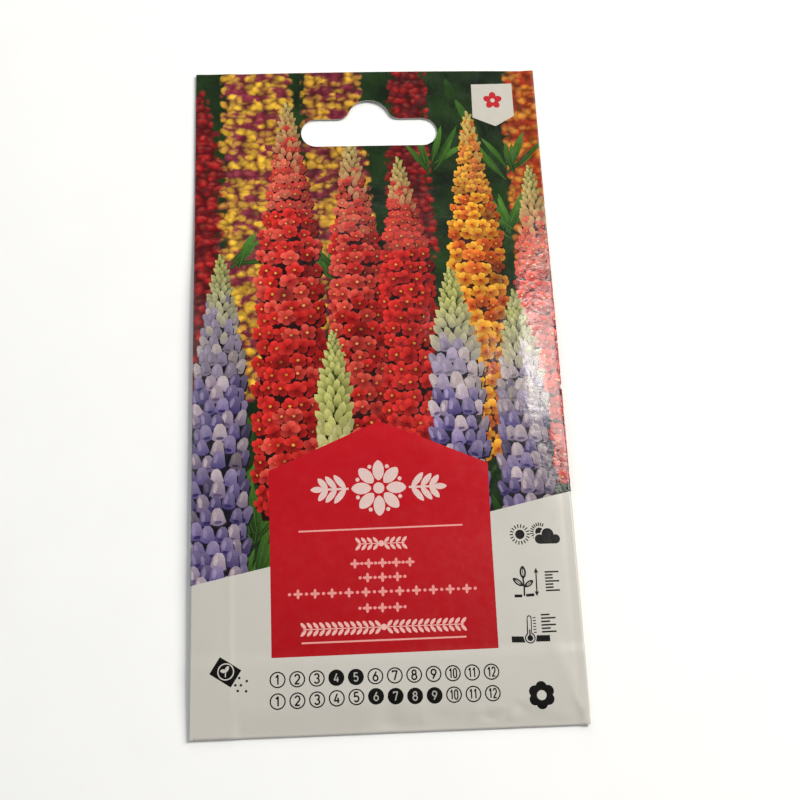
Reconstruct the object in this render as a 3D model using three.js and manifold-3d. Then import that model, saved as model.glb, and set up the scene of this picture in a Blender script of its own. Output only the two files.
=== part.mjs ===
// A sealed paper seed packet, lying on its back.
// Millimetres. +X across the packet, +Y up the packet towards the hang slot, +Z out of the front panel.
// The origin is the middle of the packet's footprint, on the plane that it rests on.
import * as THREE from "three";
import { mergeVertices } from "three/addons/utils/BufferGeometryUtils.js";
import Module from "manifold-3d";

// ---- Driving dimensions -------------------------------------------------
const PACKET_WIDTH = 81;
const PACKET_HEIGHT = 154;
const PAPER = 0.14; // thickness of the coated paper
const GLUE_GAP = 0.08; // between two papers that are glued together
const GLUE = 0.04; // thickness of the dried glue
const EDGE_HEADER = 0.7; // height of the folded edge in the flat header
const EDGE_SWELL = 0.5; // how much thicker the folded edge is where the packet is full
const LIFT = 0.7; // how far the folded edges stand off the table where the packet is full
const PLATEAU = 0.3; // rise of the front panel's flat lower part above its folded edges
const BELLY = 2.7; // how much further it rises over the seed
const ARCH = 0.6; // how far the middle of the header's top edge stands off the table
const PRESSED = 0.28; // how much flatter the bottom fold is than the folded edges beside it
const SIDE_FLAP = 8.2; // width of the inner glue flap on the left
const BOTTOM_FLAP = 13; // height of the bottom flap on the back
const SLOT_WIDTH = 32.2; // hang slot: length of its bar
const SLOT_BAR = 7.2; // height of its bar
const SLOT_HUMP = 10.2; // width of the hump above the bar
const SLOT_RISE = 12.1; // height of bar and hump together
const SLOT_FILLET = 2.6; // rounding between bar and hump
const SLOT_X = 0.3; // middle of the slot across the packet
const SLOT_Y = 57.2; // lower edge of the slot
const SEAL_BOTTOM = 52; // lower edge of the header seal
const SACHET_HALF_WIDTH = 29.5;
const SACHET_BOTTOM = -30;
const SACHET_TOP = 38;
const SACHET_FILM = 0.08;
const SACHET_SEAL = 3.5; // width of the sachet's sealed border
const SEED = [4.2, 3.3, 2.3]; // length, width, thickness of one seed
const SEED_COLUMNS = 10;
const SEED_ROWS = 5;
const SEED_PITCH_X = 4.6;
const SEED_PITCH_Y = 4.55;

const HALF_W = PACKET_WIDTH / 2;
const HALF_H = PACKET_HEIGHT / 2;

// ---- Helpers ------------------------------------------------------------
const clamp = (v, a, b) => Math.min(b, Math.max(a, v));
const smooth = (a, b, v) => {
  const t = clamp((v - a) / (b - a), 0, 1);
  return t * t * (3 - 2 * t);
};

const belowHeader = (y) => 1 - smooth(6, SEAL_BOTTOM - 1.5, y);
// How full the packet's edges are at a height on it: 0 at the bottom fold and in the header, 1 in the middle.
function fullness(y) {
  const s = clamp((y + HALF_H) / 34, 0, 1);
  return (1 - Math.pow(1 - s, 2.4)) * belowHeader(y);
}
// Rise of the front panel above its folded edges: nearly flat low down, a belly over the seed.
function swell(x, y) {
  const u = clamp(Math.abs(x) / (HALF_W - 0.35), 0, 1);
  const up = 1 - Math.pow(1 - clamp((y + HALF_H) / 14, 0, 1), 2.4);
  const side = 1 - Math.pow(1 - clamp((HALF_W - 0.35 - Math.abs(x)) / 9, 0, 1), 2.2);
  const round = Math.pow(1 - Math.pow(u * 0.99, 2), 0.8);
  return (PLATEAU * up * side + BELLY * smooth(-38, -12, y) * round) * belowHeader(y);
}
// The folded edges curve up off the table; straight outside 30 mm so that the layers keep their spacing.
function edgeRise(x) {
  const a = Math.abs(x);
  const slope = 1 / (HALF_W - 26);
  if (a < 22) return 0;
  if (a < 30) return (slope * (a - 22) ** 2) / 16;
  return slope * (a - 26);
}
// The header arches up a little towards its top edge.
const arch = (x, y) => ARCH * (1 - (x / HALF_W) ** 2) * smooth(58, HALF_H, y);
// Underside of the back panel. It steps over the bottom flap.
function backUnderside(x, y) {
  const step =
    (PAPER + GLUE_GAP) *
    (1 - smooth(-HALF_H + BOTTOM_FLAP + 1, -HALF_H + BOTTOM_FLAP + 4, y));
  return LIFT * fullness(y) * edgeRise(x) + step + arch(x, y);
}
const edgeThickness = (y) => EDGE_HEADER + EDGE_SWELL * fullness(y);
const rightRadius = (y) => edgeThickness(y) / 2;
const leftRadius = (y) => (edgeThickness(y) - PAPER - GLUE_GAP) / 2;

// Outer face of the front panel.
function frontTop(x, y) {
  const edges = backUnderside(HALF_W, y) + edgeThickness(y);
  // In the header the front is glued down on the back, over the side flap on the left.
  const clear = smooth(-HALF_W + SIDE_FLAP + 0.4, -HALF_W + SIDE_FLAP + 2.4, x);
  const sealed = 2 * PAPER + GLUE_GAP + (PAPER + GLUE_GAP) * (1 - clear);
  const inHeader = smooth(SEAL_BOTTOM - 12, SEAL_BOTTOM - 1, y);
  const inside = smooth(0.6, 3.4, HALF_W - Math.abs(x));
  const pressed = PRESSED * clear * (1 - smooth(-HALF_H, -HALF_H + 6, y));
  return (
    edges +
    swell(x, y) +
    arch(x, y) -
    inside * (inHeader * (EDGE_HEADER - sealed) + pressed)
  );
}

// A sheet of even thickness as one closed solid: outer face through grid[r][c], its inner face behind it.
// Rows run one way and columns the other so that column x row points out of the outer face.
function sheetGeometry(grid, thickness) {
  const R = grid.length;
  const C = grid[0].length;
  const at = (r, c) => (r >= 0 && r < R && c >= 0 && c < C ? grid[r][c] : null);
  const index = new Map();
  const outer = [];
  const inner = [];
  for (let r = 0; r < R; r++)
    for (let c = 0; c < C; c++) {
      const p = at(r, c);
      if (!p) continue;
      const dc = new THREE.Vector3().subVectors(
        at(r, c + 1) || p,
        at(r, c - 1) || p,
      );
      const dr = new THREE.Vector3().subVectors(
        at(r + 1, c) || p,
        at(r - 1, c) || p,
      );
      const n = dc.cross(dr).normalize();
      index.set(r * C + c, outer.length);
      outer.push(p.clone());
      inner.push(p.clone().addScaledVector(n, -thickness));
    }
  const N = outer.length;
  const tri = [];
  const edges = new Set();
  const face = (a, b, c) => {
    tri.push(a, b, c, N + a, N + c, N + b);
    edges.add(a + "," + b).add(b + "," + c).add(c + "," + a);
  };
  for (let r = 0; r < R - 1; r++)
    for (let c = 0; c < C - 1; c++) {
      const q = [
        [r, c],
        [r, c + 1],
        [r + 1, c + 1],
        [r + 1, c],
      ].map(([i, j]) => index.get(i * C + j));
      if (q.some((k) => k === undefined)) continue;
      face(q[0], q[1], q[2]);
      face(q[0], q[2], q[3]);
    }
  for (const e of edges) {
    const [a, b] = e.split(",").map(Number);
    if (edges.has(b + "," + a)) continue;
    tri.push(b, a, N + a, b, N + a, N + b);
  }
  const g = new THREE.BufferGeometry();
  g.setAttribute(
    "position",
    new THREE.Float32BufferAttribute(
      [...outer, ...inner].flatMap((v) => [v.x, v.y, v.z]),
      3,
    ),
  );
  g.setIndex(tri);
  return g;
}

// ---- Booleans -----------------------------------------------------------
const wasm = await Module();
wasm.setup();
function toSolid(geometry) {
  const g = geometry.clone();
  g.deleteAttribute("normal");
  g.deleteAttribute("uv");
  const m = mergeVertices(g, 1e-4);
  return new wasm.Manifold(
    new wasm.Mesh({
      numProp: 3,
      vertProperties: new Float32Array(m.attributes.position.array),
      triVerts: new Uint32Array(m.index.array),
    }),
  );
}
function toGeometry(solid) {
  const m = solid.getMesh();
  const p = new Float32Array(m.numVert * 3);
  for (let i = 0; i < m.numVert; i++)
    for (let k = 0; k < 3; k++)
      p[i * 3 + k] = m.vertProperties[i * m.numProp + k];
  const g = new THREE.BufferGeometry();
  g.setAttribute("position", new THREE.BufferAttribute(p, 3));
  g.setIndex(new THREE.BufferAttribute(new Uint32Array(m.triVerts), 1));
  return g;
}

// ---- Hang slot outline --------------------------------------------------
// A bar with round ends and a hump on its upper side, grown all round by `grow`.
// The corners of the paper between bar and hump are rounded with SLOT_FILLET.
function slotCutter(grow) {
  const s = new THREE.Shape();
  const r = SLOT_BAR / 2 + grow;
  const end = SLOT_WIDTH / 2 - SLOT_BAR / 2;
  const mid = SLOT_Y + SLOT_BAR / 2;
  const hump = SLOT_HUMP / 2 + grow;
  const humpY = SLOT_Y + SLOT_RISE - SLOT_HUMP / 2;
  const fillet = SLOT_FILLET - grow;
  const filletY = mid + r + fillet;
  const filletX = Math.sqrt((hump + fillet) ** 2 - (filletY - humpY) ** 2);
  const a = Math.atan2(filletY - humpY, filletX);
  s.moveTo(SLOT_X - end, mid - r);
  s.lineTo(SLOT_X + end, mid - r);
  s.absarc(SLOT_X + end, mid, r, -Math.PI / 2, Math.PI / 2, false);
  s.absarc(SLOT_X + filletX, filletY, fillet, -Math.PI / 2, a - Math.PI, true);
  s.absarc(SLOT_X, humpY, hump, a, Math.PI - a, false);
  s.absarc(SLOT_X - filletX, filletY, fillet, -a, -Math.PI / 2, true);
  s.absarc(SLOT_X - end, mid, r, Math.PI / 2, Math.PI * 1.5, false);
  const g = new THREE.ExtrudeGeometry(s, {
    depth: 12,
    bevelEnabled: false,
    curveSegments: 10,
  });
  g.translate(0, 0, -4);
  return toSolid(g);
}

// ---- The folded paper blank --------------------------------------------
const FOLD_STEPS = 4;
const tubeRows = [
  -76.54, -75.4, -73.4, -70.5, -67, -63, -61.5, -60, -54, -46, -38, -34, -30, -26,
  -22, -18, -12, 0, 8, 14, 19, 25, 32, 38, 44, 48, 51, 54.5, 58, 62, 66, 70, 73.5,
  76.3, HALF_H,
];
const frontShare = [
  -1, -0.985, -0.95, -0.9, -0.85, -0.8, -0.75, -0.68, -0.55, -0.38, -0.19, 0, 0.19,
  0.38, 0.56, 0.7, 0.81, 0.9, 0.955, 0.985, 1,
];
const sideX = [SIDE_FLAP - HALF_W, -34.3, -36.5, -38.5];
const backX = [
  40, 37.5, 34, 30, 26, 22, 15, 8, 0, -8, -15, -22, -26, -30, SIDE_FLAP - HALF_W, -34.3,
  -36.5, -38.5, -40,
];

function tubeRow(y) {
  const out = [];
  const push = (x, z) => out.push(new THREE.Vector3(x, y, z));
  const rl = leftRadius(y);
  const rr = rightRadius(y);
  // Inner glue flap, from its free edge to the left fold.
  for (const x of sideX) push(x, backUnderside(x, y) + PAPER + GLUE_GAP);
  // Left fold.
  const zl = backUnderside(-HALF_W, y) + PAPER + GLUE_GAP + rl;
  const xl = -HALF_W + rl;
  for (let k = 0; k < FOLD_STEPS; k++) {
    const a = -Math.PI / 2 - (Math.PI * (k + 0.0)) / FOLD_STEPS;
    push(xl + rl * Math.cos(a), zl + rl * Math.sin(a));
  }
  // Front panel.
  const xr = HALF_W - rr;
  for (const s of frontShare) {
    const x = s < 0 ? -s * xl : s * xr;
    push(x, s === -1 ? zl + rl : s === 1 ? backUnderside(HALF_W, y) + 2 * rr : frontTop(x, y));
  }
  // Right fold.
  const zr = backUnderside(HALF_W, y) + rr;
  for (let k = 1; k <= FOLD_STEPS; k++) {
    const a = Math.PI / 2 - (Math.PI * k) / FOLD_STEPS;
    push(xr + rr * Math.cos(a), zr + rr * Math.sin(a));
  }
  // Back panel, from the right fold to its free edge at the left.
  for (const x of backX)
    if (x < xr - 0.3) push(x, backUnderside(x, y));
    else push(xr - 0.3, backUnderside(x, y));
  return out;
}

function packetSheet() {
  const tube = tubeRows.map(tubeRow);
  const columns = tube[0].length;
  const first = sideX.length + FOLD_STEPS + 2; // first front column that carries the bottom flap
  const last = sideX.length + FOLD_STEPS + frontShare.length - 3;
  // Bottom fold and flap, from the front panel's lowest row round onto the back.
  const y0 = tubeRows[0];
  const flapRows = [];
  const tops = tube[0];
  for (let k = 1; k <= FOLD_STEPS + 4; k++) {
    const row = new Array(columns).fill(null);
    for (let c = first; c <= last; c++) {
      const z = tops[c].z;
      const r = z / 2;
      if (k <= FOLD_STEPS) {
        const a = Math.PI / 2 + (Math.PI * k) / FOLD_STEPS;
        row[c] = new THREE.Vector3(
          tops[c].x,
          y0 + (HALF_H + y0) * Math.cos(a),
          r + r * Math.sin(a),
        );
      } else {
        const share = (k - FOLD_STEPS) / 4;
        const y = y0 + share * (-HALF_H + BOTTOM_FLAP - y0);
        row[c] = new THREE.Vector3(tops[c].x * (1 - 0.07 * share), y, 0);
      }
    }
    flapRows.push(row);
  }
  flapRows.reverse();
  return sheetGeometry([...flapRows, ...tube], PAPER);
}

// ---- Glue ---------------------------------------------------------------
// A layer of dried glue over a grid of x and y, its underside at under(x, y).
function glueGeometry(xs, ys, under) {
  const grid = ys.map((y) =>
    xs.map((x) => new THREE.Vector3(x, y, under(x, y) + GLUE)),
  );
  return sheetGeometry(grid, GLUE);
}
const GLUE_MARGIN = (GLUE_GAP - GLUE) / 2;

const sideGlue = glueGeometry(
  [-37.6, -36.5, -34.3, -33.1],
  tubeRows.filter((y) => y > -76 && y < 76.5),
  (x, y) => backUnderside(x, y) + PAPER + GLUE_MARGIN,
);
const bottomGlue = glueGeometry(
  [-33, -22, -11, 0, 11, 22, 33],
  [-75, -70, -65.4],
  () => PAPER + GLUE_MARGIN,
);
const sealGlue = glueGeometry(
  [-28.4, -22, -15, -8, 0, 8, 15, 22, 30, 36.4],
  [SEAL_BOTTOM + 0.4, 58, 62, 66, 70, 73.5, HALF_H - 0.8],
  (x, y) => arch(x, y) + PAPER + GLUE_MARGIN,
);

// ---- Inner sachet -------------------------------------------------------
const sachetX = [-29.5, -26, -24.8, -23.4, -16, -8, 0, 8, 16, 23.4, 24.8, 26, 29.5];
const sachetY = [
  -30, -26.5, -22.2, -18, -13, -7, 0, 7, 12, 17, 22, 27, 31, 34.5, 38,
];
const sachetUnder = (x, y) =>
  backUnderside(x, y) + PAPER + 0.16;
// How far the front film stands off the back film.
function sachetPuff(x, y) {
  const fx = smooth(0, 2.6, SACHET_HALF_WIDTH - SACHET_SEAL - Math.abs(x));
  const fy =
    smooth(SACHET_BOTTOM + SACHET_SEAL, SACHET_BOTTOM + 12, y) *
    (1 - smooth(12, SACHET_TOP - SACHET_SEAL, y) * 0.999);
  return 2.9 * fx * fy;
}
function sachetBack() {
  return sheetGeometry(
    sachetY.map((y) =>
      sachetX.map(
        (x) => new THREE.Vector3(x, y, sachetUnder(x, y) + SACHET_FILM),
      ),
    ),
    SACHET_FILM,
  );
}
function sachetFront() {
  return sheetGeometry(
    sachetY.map((y) =>
      sachetX.map(
        (x) =>
          new THREE.Vector3(
            x,
            y,
            sachetUnder(x, y) + 2 * SACHET_FILM + 0.05 + sachetPuff(x, y),
          ),
      ),
    ),
    SACHET_FILM,
  );
}

// ---- Seeds --------------------------------------------------------------
// One seed: a flattened bean with a shallow dent at the scar where it was attached.
function seedGeometry(scale) {
  const g = new THREE.SphereGeometry(1, 8, 6);
  g.deleteAttribute("normal");
  g.deleteAttribute("uv");
  const m = mergeVertices(g, 1e-5);
  const p = m.attributes.position;
  for (let i = 0; i < p.count; i++) {
    let [x, y, z] = [p.getX(i), p.getZ(i), p.getY(i)];
    const dent =
      x > 0 ? 0.1 * Math.exp(-((y / 0.4) ** 2) - (z / 0.5) ** 2) : 0;
    x -= dent;
    p.setXYZ(
      i,
      (x * SEED[0] * scale) / 2,
      (-y * (SEED[1] - 0.25 * x) * scale) / 2,
      (z * SEED[2] * scale) / 2,
    );
  }
  m.computeVertexNormals();
  return m;
}
// A fixed, repeatable scatter.
let seedState = 20417;
function scatter() {
  seedState = (seedState * 48271) % 2147483647;
  return seedState / 2147483647;
}

// ---- Assembly -----------------------------------------------------------
const printedPaper = new THREE.MeshStandardMaterial({
  color: 0xc8c4bc,
  roughness: 0.38,
  metalness: 0,
});
const glueMaterial = new THREE.MeshStandardMaterial({
  color: 0xd8d2c0,
  roughness: 0.3,
  metalness: 0,
});
const filmMaterial = new THREE.MeshStandardMaterial({
  color: 0xe6e2d6,
  roughness: 0.5,
  metalness: 0,
});
const seedMaterial = new THREE.MeshStandardMaterial({
  color: 0x8a7256,
  roughness: 0.55,
  metalness: 0,
});

const group = new THREE.Group();
function add(parent, name, geometry, material) {
  geometry.computeVertexNormals();
  const mesh = new THREE.Mesh(geometry, material);
  mesh.name = name;
  parent.add(mesh);
  return mesh;
}

const envelope = new THREE.Group();
group.add(envelope);
add(
  envelope,
  "packet_sheet",
  toGeometry(toSolid(packetSheet()).subtract(slotCutter(0))),
  printedPaper,
);
add(envelope, "side_seam_glue", sideGlue, glueMaterial);
add(envelope, "bottom_flap_glue", bottomGlue, glueMaterial);
add(
  envelope,
  "header_seal_glue",
  toGeometry(toSolid(sealGlue).subtract(slotCutter(0.8))),
  glueMaterial,
);

const sachet = new THREE.Group();
group.add(sachet);
add(sachet, "inner_sachet_back", sachetBack(), filmMaterial);
add(sachet, "inner_sachet_front", sachetFront(), filmMaterial);

const seeds = new THREE.Group();
seeds.position.set(0, -2.5, PAPER + 0.16 + SACHET_FILM + 0.06);
sachet.add(seeds);
for (let k = 0; k < SEED_COLUMNS * SEED_ROWS; k++) {
  const col = k % SEED_COLUMNS;
  const row = Math.floor(k / SEED_COLUMNS);
  const scale = 0.94 + 0.08 * scatter();
  const mesh = add(
    seeds,
    "seed_" + String(k + 1).padStart(2, "0"),
    seedGeometry(scale),
    seedMaterial,
  );
  mesh.position.set(
    (col - (SEED_COLUMNS - 1) / 2) * SEED_PITCH_X + (scatter() - 0.5) * 0.3,
    (row - (SEED_ROWS - 1) / 2) * SEED_PITCH_Y + (scatter() - 0.5) * 0.2,
    (SEED[2] * scale) / 2 + 0.02,
  );
  mesh.rotation.z = scatter() * Math.PI * 2;
}

export default group;
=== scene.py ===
"""The looks of a paper seed packet: its printed sheet, its inner sachet and its seeds.

Lengths in the shape functions are millimetres in the part's frame: X across, Y up the packet, Z out of the front.
"""

import math
import random

import bpy
import numpy as np
from mathutils import Matrix, Vector
from mathutils.bvhtree import BVHTree
from mathutils.geometry import delaunay_2d_cdt


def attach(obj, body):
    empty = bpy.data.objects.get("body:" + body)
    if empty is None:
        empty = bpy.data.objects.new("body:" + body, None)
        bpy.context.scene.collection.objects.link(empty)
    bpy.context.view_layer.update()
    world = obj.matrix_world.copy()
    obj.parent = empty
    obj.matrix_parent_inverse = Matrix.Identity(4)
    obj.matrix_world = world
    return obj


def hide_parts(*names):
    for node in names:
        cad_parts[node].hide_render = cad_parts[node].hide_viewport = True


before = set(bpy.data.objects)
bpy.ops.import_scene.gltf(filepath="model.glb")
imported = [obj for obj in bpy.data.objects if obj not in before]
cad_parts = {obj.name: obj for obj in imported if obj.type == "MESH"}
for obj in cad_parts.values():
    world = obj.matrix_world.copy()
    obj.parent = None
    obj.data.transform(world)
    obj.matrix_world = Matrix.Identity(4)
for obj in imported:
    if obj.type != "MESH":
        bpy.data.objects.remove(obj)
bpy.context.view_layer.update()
MM = 0.001


# ---------------------------------------------------------------- shape of the folded sheet
HALF_W, HALF_H = 40.5, 77.0
PAPER, GAP = 0.14, 0.08
EDGE_HEADER, EDGE_SWELL, LIFT, PLATEAU, BELLY = 0.7, 0.5, 0.7, 0.28, 2.57
ARCH, PRESSED = 0.6, 0.28
SIDE_FLAP, BOTTOM_FLAP, SEAL_BOTTOM = 8.2, 13.0, 52.0
Y0 = -76.54  # where the bottom fold starts to turn under
FOLD = 1.6  # width of a side fold on the flat blank
BACK_0 = HALF_W + FOLD  # the back panel on the blank
BACK_1 = BACK_0 + 80.1
FLAP_1 = -HALF_W - FOLD
FLAP_0 = FLAP_1 - 8.0
TURN = 1.3  # height of the bottom fold on the blank
FLAP_IN = 39.8  # half width of the bottom flap
CORNER = -76.96  # the side folds reach this far down beside it


def smooth(a, b, v):
    t = np.clip((v - a) / (b - a), 0.0, 1.0)
    return t * t * (3 - 2 * t)


def below_header(y):
    return 1 - smooth(6, SEAL_BOTTOM - 1.5, y)


def fullness(y):
    s = np.clip((y + HALF_H) / 34, 0, 1)
    return (1 - (1 - s) ** 2.4) * below_header(y)


def edge_rise(x):
    a = np.abs(x)
    k = 1 / (HALF_W - 26)
    return np.where(a < 22, 0.0, np.where(a < 30, k * (a - 22) ** 2 / 16, k * (a - 26)))


def arch(x, y):
    """The header arches up a little towards its top edge."""
    return ARCH * (1 - (x / HALF_W) ** 2) * smooth(58, HALF_H, y)


def back_under(x, y):
    step = (PAPER + GAP) * (
        1 - smooth(-HALF_H + BOTTOM_FLAP + 1, -HALF_H + BOTTOM_FLAP + 4, y)
    )
    return LIFT * fullness(y) * edge_rise(x) + step + arch(x, y)


def edge_thickness(y):
    return EDGE_HEADER + EDGE_SWELL * fullness(y)


def r_right(y):
    return edge_thickness(y) / 2


def r_left(y):
    return (edge_thickness(y) - PAPER - GAP) / 2


def waves(x, y, spec):
    """A sum of fixed sine waves: (amplitude, wavelength, direction in degrees, phase)."""
    out = np.zeros_like(x)
    for a, length, turn, phase in spec:
        c, s = math.cos(math.radians(turn)), math.sin(math.radians(turn))
        out = out + a * np.sin(2 * math.pi * (x * c + y * s) / length + phase)
    return out


BROAD = (
    (0.085, 46.0, 12, 0.4),
    (0.070, 33.0, 101, 2.1),
    (0.045, 21.0, 58, 4.4),
    (0.035, 17.0, 150, 1.0),
)
FINE = (
    (0.016, 9.7, 25, 0.7),
    (0.014, 8.3, 118, 3.3),
    (0.010, 6.1, 77, 5.2),
    (0.008, 5.2, 160, 2.6),
)
# Small puckers: centre, length, width, direction in degrees, height.
PUCKERS = (
    (-4.9, -70.4, 22.0, 3.2, 2, 0.30),
    (-0.4, -74.2, 9.0, 2.4, 86, -0.26),
    (3.5, -73.6, 9.0, 1.5, 8, 0.08),
    (6.4, -74.0, 3.6, 0.9, 80, 0.09),
    (10.5, -74.4, 7.0, 1.2, -14, -0.07),
    (17.6, -73.4, 3.4, 0.9, 35, 0.17),
    (19.8, -74.8, 3.0, 0.8, -20, -0.13),
    (22.0, -73.0, 3.6, 0.9, 12, 0.16),
    (24.6, -74.6, 2.8, 0.8, 55, 0.17),
    (26.6, -73.2, 3.4, 0.9, -35, -0.11),
    (36.6, -67.0, 13.0, 1.6, 112, 0.09),
    (38.9, -74.0, 6.6, 0.7, 114, 0.13),
    (33.0, -74.2, 11.0, 1.5, -20, 0.10),
    (34.6, -62.0, 10.0, 1.4, 98, 0.05),
    (37.2, -12.0, 13.0, 1.4, 86, 0.10),
    (34.8, -2.0, 16.0, 1.5, 94, -0.07),
    (35.6, 8.0, 10.0, 1.8, 99, 0.10),
    (38.0, 25.0, 12.0, 1.3, 92, -0.07),
    (31.5, 20.0, 12.0, 1.6, 80, 0.06),
    (-37.8, -40.0, 14.0, 1.3, 90, 0.04),
    (-36.4, 30.0, 16.0, 1.6, 88, 0.05),
    (-20.0, 50.8, 11.0, 1.6, 4, 0.07),
    (18.0, 50.2, 13.0, 1.5, -5, 0.08),
    (30.5, 46.0, 9.0, 1.8, -38, 0.09),
    (-29.5, 46.5, 9.0, 1.8, 36, 0.08),
)


def relief(x, y):
    """What handling has done to the front panel, on top of its smooth swell."""
    full = 0.22 + 0.78 * smooth(-40, -14, y) * below_header(y)
    inside = smooth(0.0, 5.0, HALF_W - np.abs(x))
    glued = 1 - 0.75 * smooth(SEAL_BOTTOM - 6, SEAL_BOTTOM + 2, y)
    z = (waves(x, y, BROAD) * full + waves(x, y, FINE) * (0.3 + 0.7 * full)) * inside * glued
    for cx, cy, length, width, turn, height in PUCKERS:
        c, s = math.cos(math.radians(turn)), math.sin(math.radians(turn))
        u = (x - cx) * c + (y - cy) * s
        v = -(x - cx) * s + (y - cy) * c
        z = z + height * np.exp(-((u / (length / 2)) ** 2) - (v / width) ** 2)
    z = z * smooth(0.0, 1.4, HALF_W - np.abs(x)) * smooth(-HALF_H, -HALF_H + 2.0, y)
    # A pressed line runs down beside the right fold.
    z = z - 0.05 * np.exp(-(((x - HALF_W + 2.0) / 0.8) ** 2)) * smooth(-75, -70, y) * (1 - smooth(30, 48, y))
    # The free edge of the glue flap shows through as a faint upright ridge.
    ridge = -HALF_W + SIDE_FLAP
    z = z + 0.05 * np.exp(-(((x - ridge) / 0.5) ** 2)) * smooth(-74, -66, y)
    z = z - 0.055 * smooth(ridge - 0.2, ridge + 1.2, x) * smooth(-74, -66, y) * (
        1 - smooth(38, 50, y)
    ) * (1 - smooth(ridge + 1.2, ridge + 9, x))
    return z


def swell(x, y):
    """Rise of the front above its folded edges: nearly flat low down, a belly over the seed."""
    side = np.where(x < 0, HALF_W - r_left(y), HALF_W - r_right(y))
    u = np.clip(np.abs(x) / side, 0, 1)
    up = 1 - (1 - np.clip((y + HALF_H) / 14, 0, 1)) ** 2.4
    flank = 1 - (1 - np.clip((side - np.abs(x)) / 9, 0, 1)) ** 2.2
    # The right flank is pressed into a face of its own, with a soft crease along its top.
    rise, fall = (x - 14) / 18.5, (40.2 - x) / 7.7
    tent = -0.06 * np.logaddexp(-rise / 0.06, -fall / 0.06)
    pressed = 0.50 * np.maximum(0, tent) * smooth(-24, -8, y) * (1 - smooth(28, 40, y))
    return (PLATEAU * up * flank + BELLY * smooth(-38, -12, y) * (1 - u * u) ** 0.8) * below_header(y) + pressed


def front_top(x, y):
    edges = back_under(np.full_like(x, HALF_W), y) + edge_thickness(y)
    clear = smooth(-HALF_W + SIDE_FLAP + 0.2, -HALF_W + SIDE_FLAP + 2.2, x)
    sealed = 2 * PAPER + GAP + (PAPER + GAP) * (1 - clear)
    header = smooth(SEAL_BOTTOM - 12, SEAL_BOTTOM - 1, y)
    inside = smooth(0.4, 3.2, HALF_W - np.abs(x))
    pressed = PRESSED * clear * (1 - smooth(-HALF_H, -HALF_H + 6, y))
    down = inside * (header * (EDGE_HEADER - sealed) + pressed)
    return edges + swell(x, y) + arch(x, y) - down + relief(x, y)


def place(px, py, wing=None):
    """Points of the flat blank to where they are on the folded packet's outer face."""
    px, py = np.asarray(px, float), np.asarray(py, float)
    if wing is None:
        wing = np.abs(px) > FLAP_IN + 0.01
    y = np.maximum(py, np.where(wing, CORNER, Y0))
    rr, rl = r_right(y), r_left(y)
    xr, xl = HALF_W - rr, HALF_W - rl
    rise = back_under(np.full_like(y, HALF_W), y)
    # Front panel.
    x = np.where(px < 0, px / HALF_W * xl, px / HALF_W * xr)
    z = front_top(x, y)
    yy = y.copy()
    # Right fold.
    m = (px > HALF_W) & (px <= BACK_0)
    a = math.pi / 2 - math.pi * (px - HALF_W) / FOLD
    x = np.where(m, xr + rr * np.cos(a), x)
    z = np.where(m, rise + rr + rr * np.sin(a), z)
    # Back panel.
    m = px > BACK_0
    bx = xr - (px - BACK_0) * ((xr + 40.0) / 80.1)
    x = np.where(m, bx, x)
    z = np.where(m, back_under(bx, y), z)
    # Left fold.
    m = (px < -HALF_W) & (px >= FLAP_1)
    a = math.pi / 2 + math.pi * (-HALF_W - px) / FOLD
    x = np.where(m, -xl + rl * np.cos(a), x)
    z = np.where(m, rise + PAPER + GAP + rl + rl * np.sin(a), z)
    # Glue flap.
    m = px < FLAP_1
    fx = -xl + (FLAP_1 - px) * ((xl - 32.3) / 8.0)
    x = np.where(m, fx, x)
    z = np.where(m, back_under(fx, y) + PAPER + GAP, z)
    # Bottom fold and flap.
    t = np.where(wing, 0.0, Y0 - py)
    m = (t > 0) & (t <= TURN)
    a = math.pi / 2 + math.pi * t / TURN
    r = z / 2
    yy = np.where(m, Y0 + (HALF_H + Y0) * np.cos(a), yy)
    z = np.where(m, r + r * np.sin(a), z)
    m = t > TURN
    share = (t - TURN) / (-HALF_H + BOTTOM_FLAP - Y0)
    yy = np.where(m, Y0 + share * (-HALF_H + BOTTOM_FLAP - Y0), yy)
    x = np.where(m, x * (1 - 0.07 * share), x)
    z = np.where(m, 0.0, z)
    return np.stack([x, yy, z], 1)


def outward(px, py):
    """The outward direction of the sheet's outer face at points of the blank."""
    e = 0.03
    wing = np.abs(px) > FLAP_IN + 0.01
    low = np.where(wing, CORNER, -1e9)
    dx = place(px + e, py, wing) - place(px - e, py, wing)
    dy = place(px, py + e, wing) - place(px, np.maximum(py - e, low), wing)
    n = np.cross(dx, dy)
    return n / np.maximum(np.linalg.norm(n, axis=1), 1e-12)[:, None]


def slot_outline():
    """The hang slot's edge: a bar with round ends and a hump on its upper side, anticlockwise."""
    w, bar, hump, rise, fillet, cx, y0 = 32.2, 7.2, 10.2, 12.1, 2.6, 0.3, 57.2
    r, mid, h = bar / 2, y0 + bar / 2, hump / 2
    end, hy, fy = w / 2 - r, y0 + rise - h, mid + r + fillet
    fx = math.sqrt((h + fillet) ** 2 - (fy - hy) ** 2)
    a = math.degrees(math.atan2(fy - hy, fx))
    pts = []

    def arc(ax, ay, rad, a0, a1, n):
        for k in range(n + 1):
            t = math.radians(a0 + (a1 - a0) * k / n)
            pts.append((ax + rad * math.cos(t), ay + rad * math.sin(t)))

    arc(cx + end, mid, r, -90, 90, 20)
    arc(cx + fx, fy, fillet, -90, a - 180, 9)
    arc(cx, hy, h, a, 180 - a, 24)
    arc(cx - fx, fy, fillet, -a, -90, 9)
    arc(cx - end, mid, r, 90, 270, 20)
    return spaced(pts, 1.2, True)


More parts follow.
